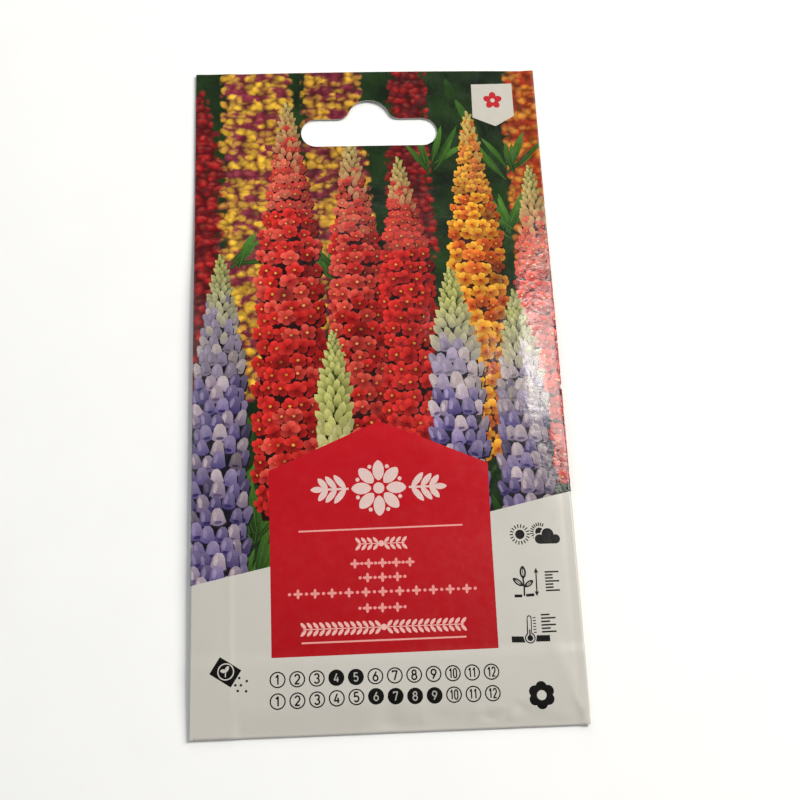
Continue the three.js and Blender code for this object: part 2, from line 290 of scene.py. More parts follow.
def spaced(line, step, closed=False):
    """A line with points no further apart than step, and none twice."""
    out = [line[0]]
    for p in line[1:] + (line[:1] if closed else []):
        q = out[-1]
        far = math.dist(p, q)
        if far < 0.04:
            continue
        n = max(1, math.ceil(far / step - 1e-6))
        out += [(q[0] + (p[0] - q[0]) * k / n, q[1] + (p[1] - q[1]) * k / n) for k in range(1, n + 1)]
    if closed and math.dist(out[-1], out[0]) < 0.04:
        out.pop()
    return out


# ---------------------------------------------------------------- the print
def srgb(r, g, b):
    """A colour given as 0..255 numbers, as linear light."""
    c = np.array([r, g, b], float) / 255
    return np.where(c <= 0.04045, c / 12.92, ((c + 0.055) / 1.055) ** 2.4)


PAPER_WHITE = srgb(197, 193, 185)
RED_TOP, RED_LOW = srgb(196, 14, 30), srgb(168, 8, 19)
PALE = srgb(226, 196, 190)
BOLD, THIN, HAIR = srgb(231, 177, 169), srgb(231, 161, 154), srgb(228, 149, 143)
INK = srgb(7, 6, 5)

LAYERS = []  # painted in order: (points, colour at the start, colour at the end, start point, direction over length squared)


def paint(points, c0, c1=None, start=(0.0, 0.0), end=None):
    """One printed shape. Its colour runs from c0 at start to c1 at end."""
    area = sum(
        p[0] * q[1] - q[0] * p[1] for p, q in zip(points, points[1:] + points[:1])
    )
    if abs(area) < 1e-4:
        return
    if area < 0:
        points = points[::-1]
    if c1 is None or end is None:
        LAYERS.append((points, c0, c0, (0.0, 0.0), (0.0, 0.0)))
        return
    dx, dy = end[0] - start[0], end[1] - start[1]
    n = max(dx * dx + dy * dy, 1e-9)
    LAYERS.append((points, c0, c1, start, (dx / n, dy / n)))


def at(x, y):
    """Millimetres from the packet's lower left corner to the frame."""
    return (x - HALF_W, y - HALF_H)


def oval(cx, cy, rx, ry, turn=0.0, n=10, uneven=0.0, rng=None):
    c, s = math.cos(turn), math.sin(turn)
    out = []
    for k in range(n):
        a = 2 * math.pi * k / n
        w = 1 + (uneven * (rng.random() - 0.5) if rng else 0)
        u, v = rx * math.cos(a) * w, ry * math.sin(a) * w
        out.append((cx + u * c - v * s, cy + u * s + v * c))
    return out


def bar(x0, y0, x1, y1, width):
    """A straight stroke."""
    dx, dy = x1 - x0, y1 - y0
    n = math.hypot(dx, dy)
    ox, oy = -dy / n * width / 2, dx / n * width / 2
    return [(x0 + ox, y0 + oy), (x0 - ox, y0 - oy), (x1 - ox, y1 - oy), (x1 + ox, y1 + oy)]


def stroke(points, width, colour):
    """A bent stroke: one piece for each straight part, drawn out to meet at the bends."""
    for i, (p, q) in enumerate(zip(points, points[1:])):
        dx, dy = q[0] - p[0], q[1] - p[1]
        n = math.hypot(dx, dy)
        if n < 1e-6:
            continue
        e = width * 0.22 / n
        a = e if i else 0
        b = e if i < len(points) - 2 else 0
        paint(bar(p[0] - dx * a, p[1] - dy * a, q[0] + dx * b, q[1] + dy * b, width), colour)


def leaf(x, y, turn, length, width, c0, c1, bend=0.0, rib=None):
    """A lance leaf from its base at x, y."""
    n = 7
    left, right, mid = [], [], []
    for k in range(n + 1):
        t = k / n
        u = length * t
        off = bend * length * t * t
        w = width / 2 * math.sin(math.pi * min(t * 0.92 + 0.05, 1)) ** 0.8
        if k == n:
            w = 0
        a = turn + 2 * bend * t * 0.6
        base = (
            x + u * math.cos(turn) - off * math.sin(turn),
            y + u * math.sin(turn) + off * math.cos(turn),
        )
        left.append((base[0] - w * math.sin(a), base[1] + w * math.cos(a)))
        right.append((base[0] + w * math.sin(a), base[1] - w * math.cos(a)))
        mid.append(base)
    paint(left + right[-2::-1], c0, c1, (x, y), mid[-1])
    if rib is not None:
        stroke(mid[:-1], max(0.12, width * 0.05), rib)


YELLOW_EYE = srgb(232, 176, 70)
# Each kind: the gap between flowers, petal base, petal middle, petal tip, eye, and a half-open bud.
TONES = {
    "red": (srgb(42, 5, 7), srgb(136, 6, 10), srgb(180, 18, 20), srgb(216, 50, 42), YELLOW_EYE, srgb(200, 100, 84)),
    "coral": (srgb(54, 9, 11), srgb(156, 18, 22), srgb(198, 42, 38), srgb(228, 92, 74), srgb(236, 190, 104), srgb(212, 136, 108)),
    "orange": (srgb(66, 22, 9), srgb(188, 78, 12), srgb(224, 136, 24), srgb(240, 184, 58), srgb(140, 26, 20), srgb(216, 160, 80)),
    "flame": (srgb(60, 14, 8), srgb(170, 40, 12), srgb(208, 82, 22), srgb(232, 132, 46), srgb(236, 180, 70), srgb(216, 150, 84)),
    "yellow": (srgb(50, 14, 22), srgb(178, 116, 12), srgb(210, 160, 30), srgb(230, 196, 76), srgb(96, 16, 40), srgb(196, 180, 84)),
    "violet": (srgb(26, 22, 36), srgb(66, 52, 112), srgb(106, 90, 154), srgb(180, 164, 194), srgb(230, 216, 206), srgb(192, 180, 170)),
    "lilac": (srgb(38, 34, 44), srgb(116, 98, 138), srgb(170, 148, 172), srgb(222, 206, 204), srgb(230, 218, 196), srgb(204, 190, 168)),
    "cream": (srgb(38, 46, 18), srgb(150, 146, 76), srgb(188, 182, 108), srgb(220, 212, 158), srgb(236, 228, 180), srgb(196, 192, 116)),
}
GREEN_BUD = (srgb(118, 120, 50), srgb(204, 202, 122))


def turned(x, y, c, s, k, pts):
    return [(x + (u * c - v * s) * k, y + (u * s + v * c) * k) for u, v in pts]


def blossom(rng, x, y, r, squash, lean, lit, tones):
    """A round open flower of five petals with an eye; squash narrows it as it turns away."""
    gap, low, mid, high, eye, _ = tones
    lean_c, lean_s = math.cos(lean), math.sin(lean)

    def put(u, v):
        u, v = u * squash, v * 0.9
        return (x + u * lean_c - v * lean_s, y + u * lean_s + v * lean_c)

    # Its shadow on the flowers below.
    paint([(p[0] + r * 0.10, p[1] - r * 0.22) for p in (put(*q) for q in oval(0, 0, r * 0.96, r * 0.96, 0.3, 7, 0.12, rng))], gap * (0.55 + 0.45 * lit))
    start = rng.random() * 2 * math.pi
    order = list(range(5))
    rng.shuffle(order)
    for k in order:
        a = start + 2 * math.pi * k / 5 + rng.uniform(-0.14, 0.14)
        ca, sa = math.cos(a), math.sin(a)
        length = r * rng.uniform(0.9, 1.08)
        width = r * rng.uniform(0.92, 1.12)
        pts = []
        for i in range(8):
            t = 2 * math.pi * (i + 0.5) / 8
            u = length * (0.52 - 0.50 * math.cos(t))
            v = width / 2 * math.sin(t) * (0.84 - 0.26 * math.cos(t))
            pts.append(put(u * ca - v * sa, u * sa + v * ca))
        # Petals that face up and to the left catch the light.
        face = lit * (1.0 + 0.24 * (sa * 0.85 - ca * 0.3)) * rng.uniform(0.88, 1.12)
        c0 = low if face < 0.95 else low * 0.4 + mid * 0.6
        c1 = high if face > 0.92 else mid * 0.55 + high * 0.45
        paint(pts, c0 * face, c1 * face, put(ca * length * 0.1, sa * length * 0.1), put(ca * length, sa * length))
    if rng.random() < 0.8:
        glow = rng.uniform(0.35, 1.0)
        paint([put(*p) for p in oval(0, 0, r * 0.17, r * 0.17, start, 6)], (eye * glow + low * (1 - glow)) * lit)


def bell(rng, x, y, r, squash, lean, lit, tones):
    """A flower shaped like a bell, hanging out from the stalk, its mouth towards the viewer."""
    gap, low, mid, high, eye, _ = tones
    c, s = math.cos(lean), math.sin(lean)

    def put(pts):
        return turned(x, y, c, s, r, [(u * squash, v) for u, v in pts])

    body = [(-0.26, 0.95), (0.26, 0.95), (0.58, 0.55), (0.70, -0.05), (0.84, -0.60), (0.44, -0.84), (0.0, -0.94), (-0.44, -0.84), (-0.84, -0.60), (-0.70, -0.05), (-0.58, 0.55)]
    paint([(p[0] + r * 0.12, p[1] - r * 0.2) for p in put(body[2:])], gap * (0.6 + 0.5 * lit))
    k = lit * rng.uniform(0.86, 1.12)
    top, foot = put([(0.0, 0.9), (0.0, -0.9)])
    light = rng.random() ** 1.5
    base = mid * light + low * (1 - light)
    paint(put(body), (high * (0.35 + 0.5 * light) + base * (0.65 - 0.5 * light)) * k, base * k, top, foot)
    paint(put([(-0.46, 0.45), (-0.22, 0.74), (-0.04, 0.3), (-0.2, -0.35), (-0.52, -0.25)]), (high * 0.75 + mid * 0.25) * k * 1.04, (mid * 0.7 + high * 0.3) * k, top, foot)
    if squash > 0.7 and rng.random() < 0.75:
        paint(put([(0.46, -0.56), (0.24, -0.40), (-0.24, -0.40), (-0.46, -0.56), (-0.22, -0.72), (0.22, -0.72)]), (gap * 0.5 + low * 0.5) * k, low * k, *put([(0.0, -0.35), (0.0, -0.75)]))


def bud(x, y, r, turn, c0, c1):
    """A closed bud."""
    pts = [(1.3, 0.0), (0.75, 0.48), (0.0, 0.66), (-0.8, 0.5), (-1.1, 0.0), (-0.8, -0.5), (0.0, -0.66), (0.75, -0.48)]
    c, s = math.cos(turn), math.sin(turn)
    paint(turned(x, y, c, s, r, pts), c0, c1, (x - r * c, y - r * s), (x + r * c, y + r * s))


def spike(seed, x, y0, y1, w, name, kind=blossom, r0=1.9, shade=1.0, lean=0.0, full=0.62, mixed=None):
    """A tall flower stalk from y0 up to y1: flowers open from below, and are still green buds at the tip."""
    rng = random.Random(seed)
    height = y1 - y0
    waver = rng.uniform(-1, 1)

    def middle(t):
        return x + lean * t * height + 0.55 * math.sin(2.3 * t + waver)

    def half(t):
        return w / 2 * (1 - 0.30 * t) * min(1.0, ((1 - t) / 0.40) ** 0.72 + 0.05) * min(1.0, 0.78 + 2.2 * t)

    gap, low, mid, high, eye, pale = TONES[name]
    left, right = [], []
    for k in range(17):
        t = k / 16
        h = half(t) * 0.84 * rng.uniform(0.9, 1.06)
        left.append(at(middle(t) - h, y0 + t * height))
        right.append(at(middle(t) + h, y0 + t * height))
    paint(right + left[::-1], gap * shade * 0.72, srgb(66, 80, 34) * shade, at(x, y0 + height * full), at(x, y1))
    y, row = y1 - 0.4, 0
    while y > y0:
        t = (y - y0) / height
        h = half(t)
        grown = min(1.0, (1 - t) / 0.42)
        size = r0 * (0.34 + 0.66 * grown)
        opened = min(1.0, max(0.0, (full + 0.14 - t) / 0.16))
        if opened > 0.5:
            n = max(2, round(2 * h / (size * 1.28)))
        else:
            n = max(1, round(2 * h / (size * 1.15)))
        spots = []
        for i in range(n):
            a = ((i + 0.5) / n * 2 - 1) + (0.5 if row % 2 else -0.5) / n * 0.8
            spots.append(max(-1.0, min(1.0, a + rng.uniform(-0.09, 0.09))))
        for a in sorted(spots, key=lambda v: -abs(v)):
            behind = opened == 1.0 and rng.random() < 0.06
            turn = a * 1.12
            px = middle(t) + math.sin(turn) * h
            py = y + rng.uniform(-0.3, 0.3) * size
            lit = shade * (0.66 + 0.40 * math.cos(turn + 0.5)) * rng.uniform(0.86, 1.12) * (0.55 if behind else 1.0)
            if rng.random() < opened:
                tones = TONES[mixed if mixed and rng.random() < 0.3 else name]
                if opened < 1 or t > full - 0.1:
                    tones = (tones[0], tones[1] * 0.6 + tones[5] * 0.4, tones[2] * 0.7 + tones[5] * 0.3, tones[3] * 0.8 + tones[5] * 0.2, *tones[4:])
                squash = max(0.56, math.cos(turn) ** 0.5)
                kind(rng, *at(px, py), size * rng.uniform(0.92, 1.1), squash, -a * 0.45 + rng.uniform(-0.15, 0.15), lit, tones)
            else:
                g = min(1.0, max(0.0, (t - full - 0.04) / 0.2))
                c0 = (low * 0.4 + pale * 0.6) * (1 - g) + GREEN_BUD[0] * g
                c1 = (pale * 0.7 + GREEN_BUD[1] * 0.3) * (1 - g) + GREEN_BUD[1] * g
                bud(*at(px, py), size * 0.86, math.pi / 2 - a * 0.85, c0 * lit, c1 * lit * 1.04)
        y -= size * (1.49 if opened > 0.5 else 1.12) * rng.uniform(0.9, 1.12)
        row += 1


# Stalks further back, soft: where across, how wide, from and up to what height, petal, keel, and how light.
FAR = (
    (14.0, 20.0, 70, 176, srgb(230, 182, 48), srgb(136, 44, 62), 1.10),
    (33.0, 17.0, 84, 176, srgb(220, 168, 48), srgb(124, 36, 56), 1.0),
    (50.5, 11.0, 104, 170, srgb(186, 26, 32), srgb(110, 10, 22), 0.78),
    (0.0, 12.0, 70, 152, srgb(192, 28, 32), srgb(120, 12, 24), 0.86),
    (79.0, 14.0, 58, 166, srgb(224, 146, 44), srgb(186, 62, 22), 0.86),
    (64.0, 12.0, 72, 118, srgb(150, 136, 166), srgb(84, 70, 116), 0.62),
)


def far_colours(x, y):
    """How much of a far stalk there is at points in the frame, and the colours of its petals and keels."""
    much = np.zeros_like(x)
    petal, keel = np.zeros((len(x), 3)), np.zeros((len(x), 3))
    for k, (cx, width, y0, y1, c0, c1, light) in enumerate(FAR):
        t = np.clip((y + HALF_H - y0) / (y1 - y0), 0, 1)
        middle = cx - HALF_W + 0.9 * np.sin(t * 4.0 + k * 1.7)
        half = width / 2 * (1 - 0.25 * t)
        half = half * (1 - 0.7 * smooth(y1 - 22, y1, y + HALF_H))
        m = smooth(-2.6, 2.6, half - np.abs(x - middle)) * smooth(y1 + 1, y1 - 5, y + HALF_H) * smooth(y0 - 4, y0 + 4, y + HALF_H)
        more = m > much
        round_off = light * (0.78 + 0.22 * np.sqrt(np.clip(1 - ((x - middle) / (half + 1.5)) ** 2, 0, 1)))
        petal[more] = (c0 * round_off[:, None])[more]
        keel[more] = (c1 * round_off[:, None])[more]
        much = np.maximum(much, m)
    return much, petal, keel


def foliage():
    rng = random.Random(77)
    greens = [
        (srgb(12, 26, 10), srgb(26, 50, 18)),
        (srgb(20, 42, 14), srgb(42, 76, 26)),
        (srgb(30, 58, 18), srgb(62, 104, 36)),
    ]
    for k in range(170):
        x, y = rng.uniform(-4, 84), rng.uniform(28, 158)
        deep = rng.random()
        turn, length = rng.uniform(0.2, 2.9), rng.uniform(6, 15)
        along = length * np.array([0.0, 0.35, 0.7, 1.0])
        if far_colours(x - HALF_W + along * math.cos(turn), y - HALF_H + along * math.sin(turn))[0].max() > 0.12:
            continue
        c0, c1 = greens[0 if deep < 0.5 else 1 if deep < 0.88 else 2]
        leaf(*at(x, y), turn, length, rng.uniform(1.3, 3.0), c0, c1, rng.uniform(-0.25, 0.25))


def near_leaves():
    rng = random.Random(5)
    tufts = [
        (12, 30, 0.3, 2.7, 12, 12), (12, 40, 0.4, 2.6, 12, 12), (8, 50, 0.5, 2.7, 10, 10),
        (35, 60, 0.5, 2.7, 9, 8), (72, 110, 0.7, 2.7, 12, 9), (74, 126, 0.5, 2.5, 11, 8),
        (55.5, 128, 0.6, 2.4, 11, 7), (55, 64, 0.4, 2.7, 9, 8), (72, 50, 0.4, 2.7, 10, 9),
        (9, 104, 0.2, 1.4, 11, 5), (31, 100, 0.8, 2.6, 10, 6), (69, 60, 0.8, 2.8, 9, 7), (24, 62, 0.5, 2.2, 8, 6),
    ]
    for x, y, a0, a1, length, n in tufts:
        for k in range(n):
            a = a0 + (a1 - a0) * (k + rng.uniform(0.1, 0.9)) / n
            g = rng.uniform(0.62, 1.1)
            leaf(
                *at(x + rng.uniform(-1.5, 1.5), y + rng.uniform(-2, 2)),
                a,
                length * rng.uniform(0.7, 1.15),
                rng.uniform(1.1, 1.9),
                srgb(20, 46, 14) * g,
                srgb(84, 134, 46) * g,
                rng.uniform(-0.22, 0.22),
                srgb(96, 142, 58) * g * 0.8,
            )


def picture():
    """A flower border: tall stalks of open flowers and bells in front of dark leaves."""
    foliage()
    near_leaves()
    spike(21, 78.5, 50, 128, 14, "coral", r0=1.9, shade=0.88, lean=-0.01, full=0.74)
    spike(22, 35.5, 58, 137, 14.5, "coral", r0=2.0, shade=0.9, lean=0.008, full=0.78, mixed="red")
    spike(25, 63.5, 56, 143, 15.5, "orange", r0=2.05, shade=0.92, lean=0.006, full=0.84, mixed="flame")
    spike(24, 48.0, 54, 131, 15.0, "red", r0=2.05, shade=0.96, lean=-0.012, full=0.78)
    spike(23, 20.5, 44, 146, 18.0, "red", r0=2.15, shade=1.0, lean=0.008, full=0.82, mixed="coral")
    spike(27, 57.0, 42, 101, 14.5, "violet", bell, r0=2.0, shade=0.94, lean=0.008, full=0.62, mixed="lilac")
    spike(26, 4.5, 28, 106, 15.0, "violet", bell, r0=2.0, shade=0.88, lean=0.014, full=0.72, mixed="lilac")
    spike(28, 72.5, 40, 95, 13.5, "lilac", bell, r0=1.95, shade=0.76, lean=-0.016, full=0.64, mixed="violet")
    spike(29, 30.0, 50, 86, 9.0, "cream", bell, r0=1.6, shade=1.0, lean=0.01, full=0.30)


# Month numbers, drawn as strokes on a grid 0.62 wide and 1 high.
def arc_points(cx, cy, rx, ry, a0, a1, n=10):
    return [
        (
            cx + rx * math.cos(math.radians(a0 + (a1 - a0) * k / n)),
            cy + ry * math.sin(math.radians(a0 + (a1 - a0) * k / n)),
        )
        for k in range(n + 1)
    ]


DIGITS = {
    "0": [arc_points(0.3, 0.68, 0.26, 0.28, 0, 180) + arc_points(0.3, 0.32, 0.26, 0.28, 180, 360) + [(0.56, 0.68)]],
    "1": [[(0.10, 0.74), (0.34, 0.96), (0.34, 0.04)]],
    "2": [arc_points(0.3, 0.68, 0.25, 0.28, 165, -20) + [(0.50, 0.52), (0.06, 0.05), (0.56, 0.05)]],
    "3": [arc_points(0.29, 0.73, 0.24, 0.23, 160, -80, 9) + arc_points(0.29, 0.28, 0.27, 0.24, 80, -160, 9)],
    "4": [[(0.58, 0.26), (0.04, 0.26), (0.36, 0.96)], [(0.44, 0.56), (0.44, 0.02)]],
    "5": [[(0.52, 0.95), (0.12, 0.95), (0.09, 0.53)] + arc_points(0.29, 0.32, 0.26, 0.28, 125, -150, 10)],
    "6": [[(0.42, 0.96), (0.12, 0.50)] + arc_points(0.31, 0.31, 0.26, 0.27, 150, 510, 16)],
    "7": [[(0.05, 0.80), (0.05, 0.95), (0.55, 0.95), (0.24, 0.03)]],
    "8": [arc_points(0.3, 0.74, 0.21, 0.22, 0, 360, 14), arc_points(0.3, 0.28, 0.26, 0.25, 0, 360, 14)],
    "9": [arc_points(0.31, 0.69, 0.26, 0.27, -30, 330, 16) + [(0.20, 0.04)]],
}


def number(text, cx, cy, height, width, colour):
    """A plain number, centred."""
    step = 0.74
    total = step * (len(text) - 1) + 0.6
    for i, ch in enumerate(text):
        for line in DIGITS[ch]:
            squeeze = 0.60 if len(text) > 1 else 0.92
            pts = [
                at(
                    cx + ((u + i * step) - total / 2) * height * squeeze,
                    cy + (v - 0.5) * height,
                )
                for u, v in line
            ]
            stroke(pts, width, colour)


def lens(x, y, turn, length, width, colour, n=5):
    """A small pointed leaf shape about its middle."""
    out = []
    for s in (1, -1):
        for k in range(n):
            t = k / n * s
            u = -math.cos(math.pi * k / n) * length / 2 * s
            v = -math.sin(math.pi * k / n) ** 1.3 * width / 2 * s
            out.append(
                (
                    x + u * math.cos(turn) - v * math.sin(turn),
                    y + u * math.sin(turn) + v * math.cos(turn),
                )
            )
    paint(out, colour)


def garland(cx, cy, width, height, colour):
    """A row of leaf pairs either side of a thin stem, running out from the middle."""
    pitch = height * 0.46
    n = int(width / 2 / pitch)
    for side in (1, -1):
        for k in range(n):
            x = cx + side * (k + 0.75) * pitch
            for up in (1, -1):
                a = up * 0.85
                turn = a if side > 0 else math.pi - a
                lens(
                    *at(x + side * height * 0.1, cy + up * height * 0.27),
                    turn,
                    height * 0.60,
                    height * 0.26,
                    colour,
                )
    paint(bar(*at(cx - n * pitch, cy), *at(cx + n * pitch, cy), height * 0.07), colour)
    paint(oval(*at(cx, cy), height * 0.24, height * 0.24, 0, 10), colour)


def dots(cx, cy, width, height, colour):
    """A row of small four-petalled flowers with a seed between them."""
    n = 2 * max(1, round(width / height / 0.92 / 2))
    pitch = (width - height * 0.8) / n
    for k in range(n + 1):
        x = cx + (k - n / 2) * pitch
        if (k - n // 2) % 2:
            paint(oval(*at(x, cy), height * 0.18, height * 0.18, 0, 8), colour)
        else:
            for turn in (0.0, 0.5, 1.0, 1.5):
                a = turn * math.pi
                lens(*at(x + height * 0.27 * math.cos(a), cy + height * 0.27 * math.sin(a)), a, height * 0.52, height * 0.32, colour, 5)


def panel():
    """The red house-shaped panel with a plain ornament between two rules."""
    paint(
        [at(16.36, 15.51), at(63.38, 15.82), at(63.53, 54.97), at(40.14, 64.56), at(16.14, 54.55)],
        RED_LOW,
        RED_TOP,
        at(40, 16),
        at(40, 66),
    )
    paint(bar(*at(22.33, 41.49), *at(57.37, 41.84), 0.34), THIN)
    paint(bar(*at(22.56, 18.27), *at(56.81, 18.40), 0.34), THIN)
    # A rosette between two leafy sprigs.
    cx, cy = 39.7, 50.2
    for k in range(8):
        a = 2 * math.pi * k / 8
        lens(*at(cx + 3.75 * math.cos(a), cy + 3.75 * math.sin(a)), a, 4.3, 2.5, PALE, 8)
    for k in range(8):
        a = 2 * math.pi * (k + 0.5) / 8
        paint(oval(*at(cx + 4.9 * math.cos(a), cy + 4.9 * math.sin(a)), 0.44, 0.44, 0, 9), PALE)
    paint(oval(*at(cx, cy), 1.2, 1.2, 0, 18), PALE)
    for side in (1, -1):
        paint(bar(*at(cx + side * 6.5, cy), *at(cx + side * 12.4, cy), 0.46), PALE)
        for out, length in ((7.1, 3.9), (9.1, 3.6), (11.0, 3.1)):
            for up in (1, -1):
                a = up * math.radians(50) if side > 0 else math.pi - up * math.radians(50)
                lens(*at(cx + side * out + 0.5 * length * math.cos(a), cy + 0.5 * length * math.sin(a)), a, length, 1.34, PALE, 8)
        lens(*at(cx + side * 13.2, cy), 0.0 if side > 0 else math.pi, 2.9, 1.3, PALE, 8)
    garland(39.8, 38.45, 10.4, 2.7, BOLD)
    dots(39.9, 34.3, 13.2, 1.95, HAIR)
    dots(39.8, 31.3, 11.0, 1.95, HAIR)
    dots(39.75, 28.3, 40.6, 1.95, HAIR)
    dots(39.55, 24.98, 11.0, 1.95, HAIR)
    garland(39.7, 21.0, 35.6, 2.8, BOLD)


def ring(cx, cy, r, width, ink, fill):
    paint(oval(*at(cx, cy), r, r, 0, 26), ink)
    paint(oval(*at(cx, cy), r - width, r - width, 0, 22), fill)


def calendar():
    """Two rows of month numbers in rings; the months to sow and to bloom are filled."""
    for row, full in ((11.12, (4, 5)), (6.86, (6, 7, 8, 9))):
        for m in range(1, 13):
            x = 17.58 + 3.995 * (m - 1)
            y = row + (0.3 * math.exp(-(((m - 5.4) / 2.1) ** 2)) if row < 9 else 0.0)
            if m in full:
                paint(oval(*at(x, y), 1.64, 1.64, 0, 28), INK)
                number(str(m), x, y, 1.8, 0.25, srgb(172, 169, 162))
            else:
                ring(x, y, 1.64, 0.27, INK, PAPER_WHITE)
                number(str(m), x, y, 2.0, 0.33 if m < 10 else 0.28, INK)


def sun(cx, cy, r, r0, r1, n, width, ink, a0=0.0, a1=360.0):
    paint(oval(*at(cx, cy), r, r, 0, 22), ink)
    for k in range(n):
        a = math.radians(a0 + (a1 - a0) * k / (n if a1 - a0 == 360 else n - 1))
        paint(
            bar(
                *at(cx + r0 * math.cos(a), cy + r0 * math.sin(a)),
                *at(cx + r1 * math.cos(a), cy + r1 * math.sin(a)),
                width,
            ),
            ink,
        )


def icons():
    white = PAPER_WHITE
    # Light: full sun, or sun and cloud.
    sun(69.58, 39.37, 1.02, 1.45, 2.2, 18, 0.25, INK)
    sun(73.83, 39.82, 0.9, 1.25, 2.0, 12, 0.24, INK, 60, 240)
    for grow, ink in ((0.26, white), (0.0, INK)):
        for x, y, r in ((73.75, 38.25, 1.02), (75.55, 39.25, 1.3), (77.2, 38.2, 1.0)):
            paint(oval(*at(x, y), r + grow, r + grow, 0, 20), ink)
        paint([at(73.75 - grow, 37.2 - grow), at(77.2 + grow, 37.2 - grow), at(77.2 + grow, 38.4), at(73.75 - grow, 38.4)], ink)
    # Height: a seedling beside an arrow and a scale.
    paint(bar(*at(67.5, 26.38), *at(69.13, 26.34), 0.6), INK)
    paint(bar(*at(69.95, 26.42), *at(71.7, 26.52), 0.6), INK)
    stroke([at(69.6, 26.3), at(69.68, 28.2), at(69.53, 30.2)], 0.36, INK)
    for x, y, turn, length, width in ((68.42, 29.26, 2.46, 2.7, 1.2), (70.72, 28.85, 0.61, 2.3, 1.15), (69.6, 31.27, 1.57, 2.8, 1.4)):
        lens(*at(x, y), turn, length, width, INK, 8)
        lens(*at(x, y), turn, length * 0.62, width * 0.44, white, 6)
        d = (math.cos(turn) * length * 0.3, math.sin(turn) * length * 0.3)
        paint(bar(*at(x - d[0], y - d[1]), *at(x + d[0], y + d[1]), 0.17), INK)
    stroke([at(72.28, 26.8), at(72.42, 31.5)], 0.28, INK)
    paint([at(72.26, 26.17), at(72.76, 27.15), at(71.8, 27.2)], INK)
    paint([at(72.44, 32.14), at(71.92, 31.15), at(72.92, 31.12)], INK)
    for k in range(7):
        w = 3.0 if k % 3 == 0 else 1.7
        paint(bar(*at(74.25, 27.3 + 0.65 * k), *at(74.25 + w, 27.32 + 0.65 * k), 0.34), INK)
    # Soil temperature: a thermometer in the soil beside a scale.
    paint([at(66.25, 16.85), at(69.05, 16.75), at(68.72, 18.0), at(66.25, 18.1)], INK)
    paint([at(71.3, 16.85), at(74.3, 16.8), at(74.3, 18.1), at(71.55, 18.15)], INK)
    ring(70.15, 17.62, 1.12, 0.24, INK, white)
    paint(bar(*at(70.05, 18.5), *at(70.2, 21.75), 1.06), INK)
    paint(oval(*at(70.2, 21.75), 0.53, 0.53, 0, 14), INK)
    paint(bar(*at(70.08, 18.3), *at(70.2, 21.75), 0.62), white)
    paint(oval(*at(70.2, 21.75), 0.31, 0.31, 0, 12), white)
    paint(oval(*at(70.15, 17.62), 0.62, 0.62, 0, 16), INK)
    paint(bar(*at(70.13, 17.7), *at(70.16, 19.4), 0.3), INK)
    for k in range(6):
        paint(bar(*at(70.95, 18.75 + 0.6 * k), *at(71.6, 18.77 + 0.6 * k), 0.2), INK)
    for k in range(6):
        w = 3.1 if k % 2 == 0 else 1.9
        paint(bar(*at(72.7, 18.8 + 0.7 * k), *at(72.7 + w, 18.83 + 0.7 * k), 0.34), INK)
    # Flowering: a six-lobed flower.
    for k in range(6):
        a = math.radians(60 * k + 30)
        paint(oval(*at(71.6 + 1.6 * math.cos(a), 6.1 + 1.6 * math.sin(a)), 1.2, 1.2, 0, 18), INK)
    paint(oval(*at(71.6, 6.1), 1.8, 1.8, 0, 20), INK)
    paint(oval(*at(71.6, 6.1), 1.0, 1.0, 0, 22), white)
    # Sowing: a tipped packet with seed falling out.
    c, s = math.cos(math.radians(-32.5)), math.sin(math.radians(-32.5))

    def put(u, v):
        return at(6.96 + u * c - v * s, 13.06 + u * s + v * c)

    paint([put(-2.6, -1.98), put(2.6, -1.98), put(2.6, 1.98), put(-2.6, 1.98)], INK)
    q = put(0.05, 0.1)
    paint(oval(*q, 1.72, 1.72, 0, 26), white)
    paint(oval(*q, 1.48, 1.48, 0, 24), INK)
    for turn, off in ((-33, 0.5), (147, 0.5)):
        a = math.radians(turn + 26 if turn > 0 else turn + 94)
        lens(q[0] + off * math.cos(a), q[1] + off * math.sin(a) + 0.1, a, 1.3, 0.75, white, 6)
    paint(bar(q[0] - 0.1, q[1] - 1.05, q[0], q[1] + 0.05, 0.22), white)
    for x, y in ((9.81, 11.81), (11.34, 11.14), (9.01, 10.40), (10.14, 10.36), (9.51, 9.28), (11.19, 9.14)):
        paint(oval(*at(x, y), 0.27, 0.27, 0, 9), INK)


def badge():
    """The small white pennant at the top with a plain red flower."""
    paint(
        [at(65.91, 150.29), at(65.79, 141.34), at(71.2, 138.94), at(75.82, 141.68), at(75.8, 150.5)],
        srgb(198, 193, 182),
    )
    red = srgb(186, 24, 36)
    for k in range(5):
        a = math.radians(90 + 72 * k)
        paint(oval(*at(70.9 + 1.3 * math.cos(a), 145.9 + 1.3 * math.sin(a)), 1.02, 0.84, a, 14), red)
    paint(oval(*at(70.9, 145.9), 0.55, 0.55, 0, 14), srgb(198, 193, 182))


def white_area():
    """The unprinted lower part, below a slanting edge."""
    x0, x1 = -6.0, 87.0
    paint(
        [at(x0, -20), at(x1, -20), at(x1, 49.7), at(80.95, 48.39), at(66.21, 45.06), at(15.7, 34.16), at(0.46, 31.0), at(x0, 29.6)],
        PAPER_WHITE,
    )


def dark_ground(x, y):
    """The mottled dark green behind the flowers, at points in the frame."""
    a = waves(x, y, ((0.5, 19, 20, 0.3), (0.5, 13, 95, 1.9), (0.4, 8.3, 140, 4.0), (0.4, 6.1, 60, 2.2)))
    t = np.clip(0.42 + 0.30 * a, 0, 1)[:, None]
    return srgb(14, 26, 12) * (1 - t) + srgb(38, 66, 26) * t


def lay(bx, y):
    """A place on the back panel, seen from behind: millimetres from its lower left corner."""
    return (BACK_0 + bx, y - HALF_H)


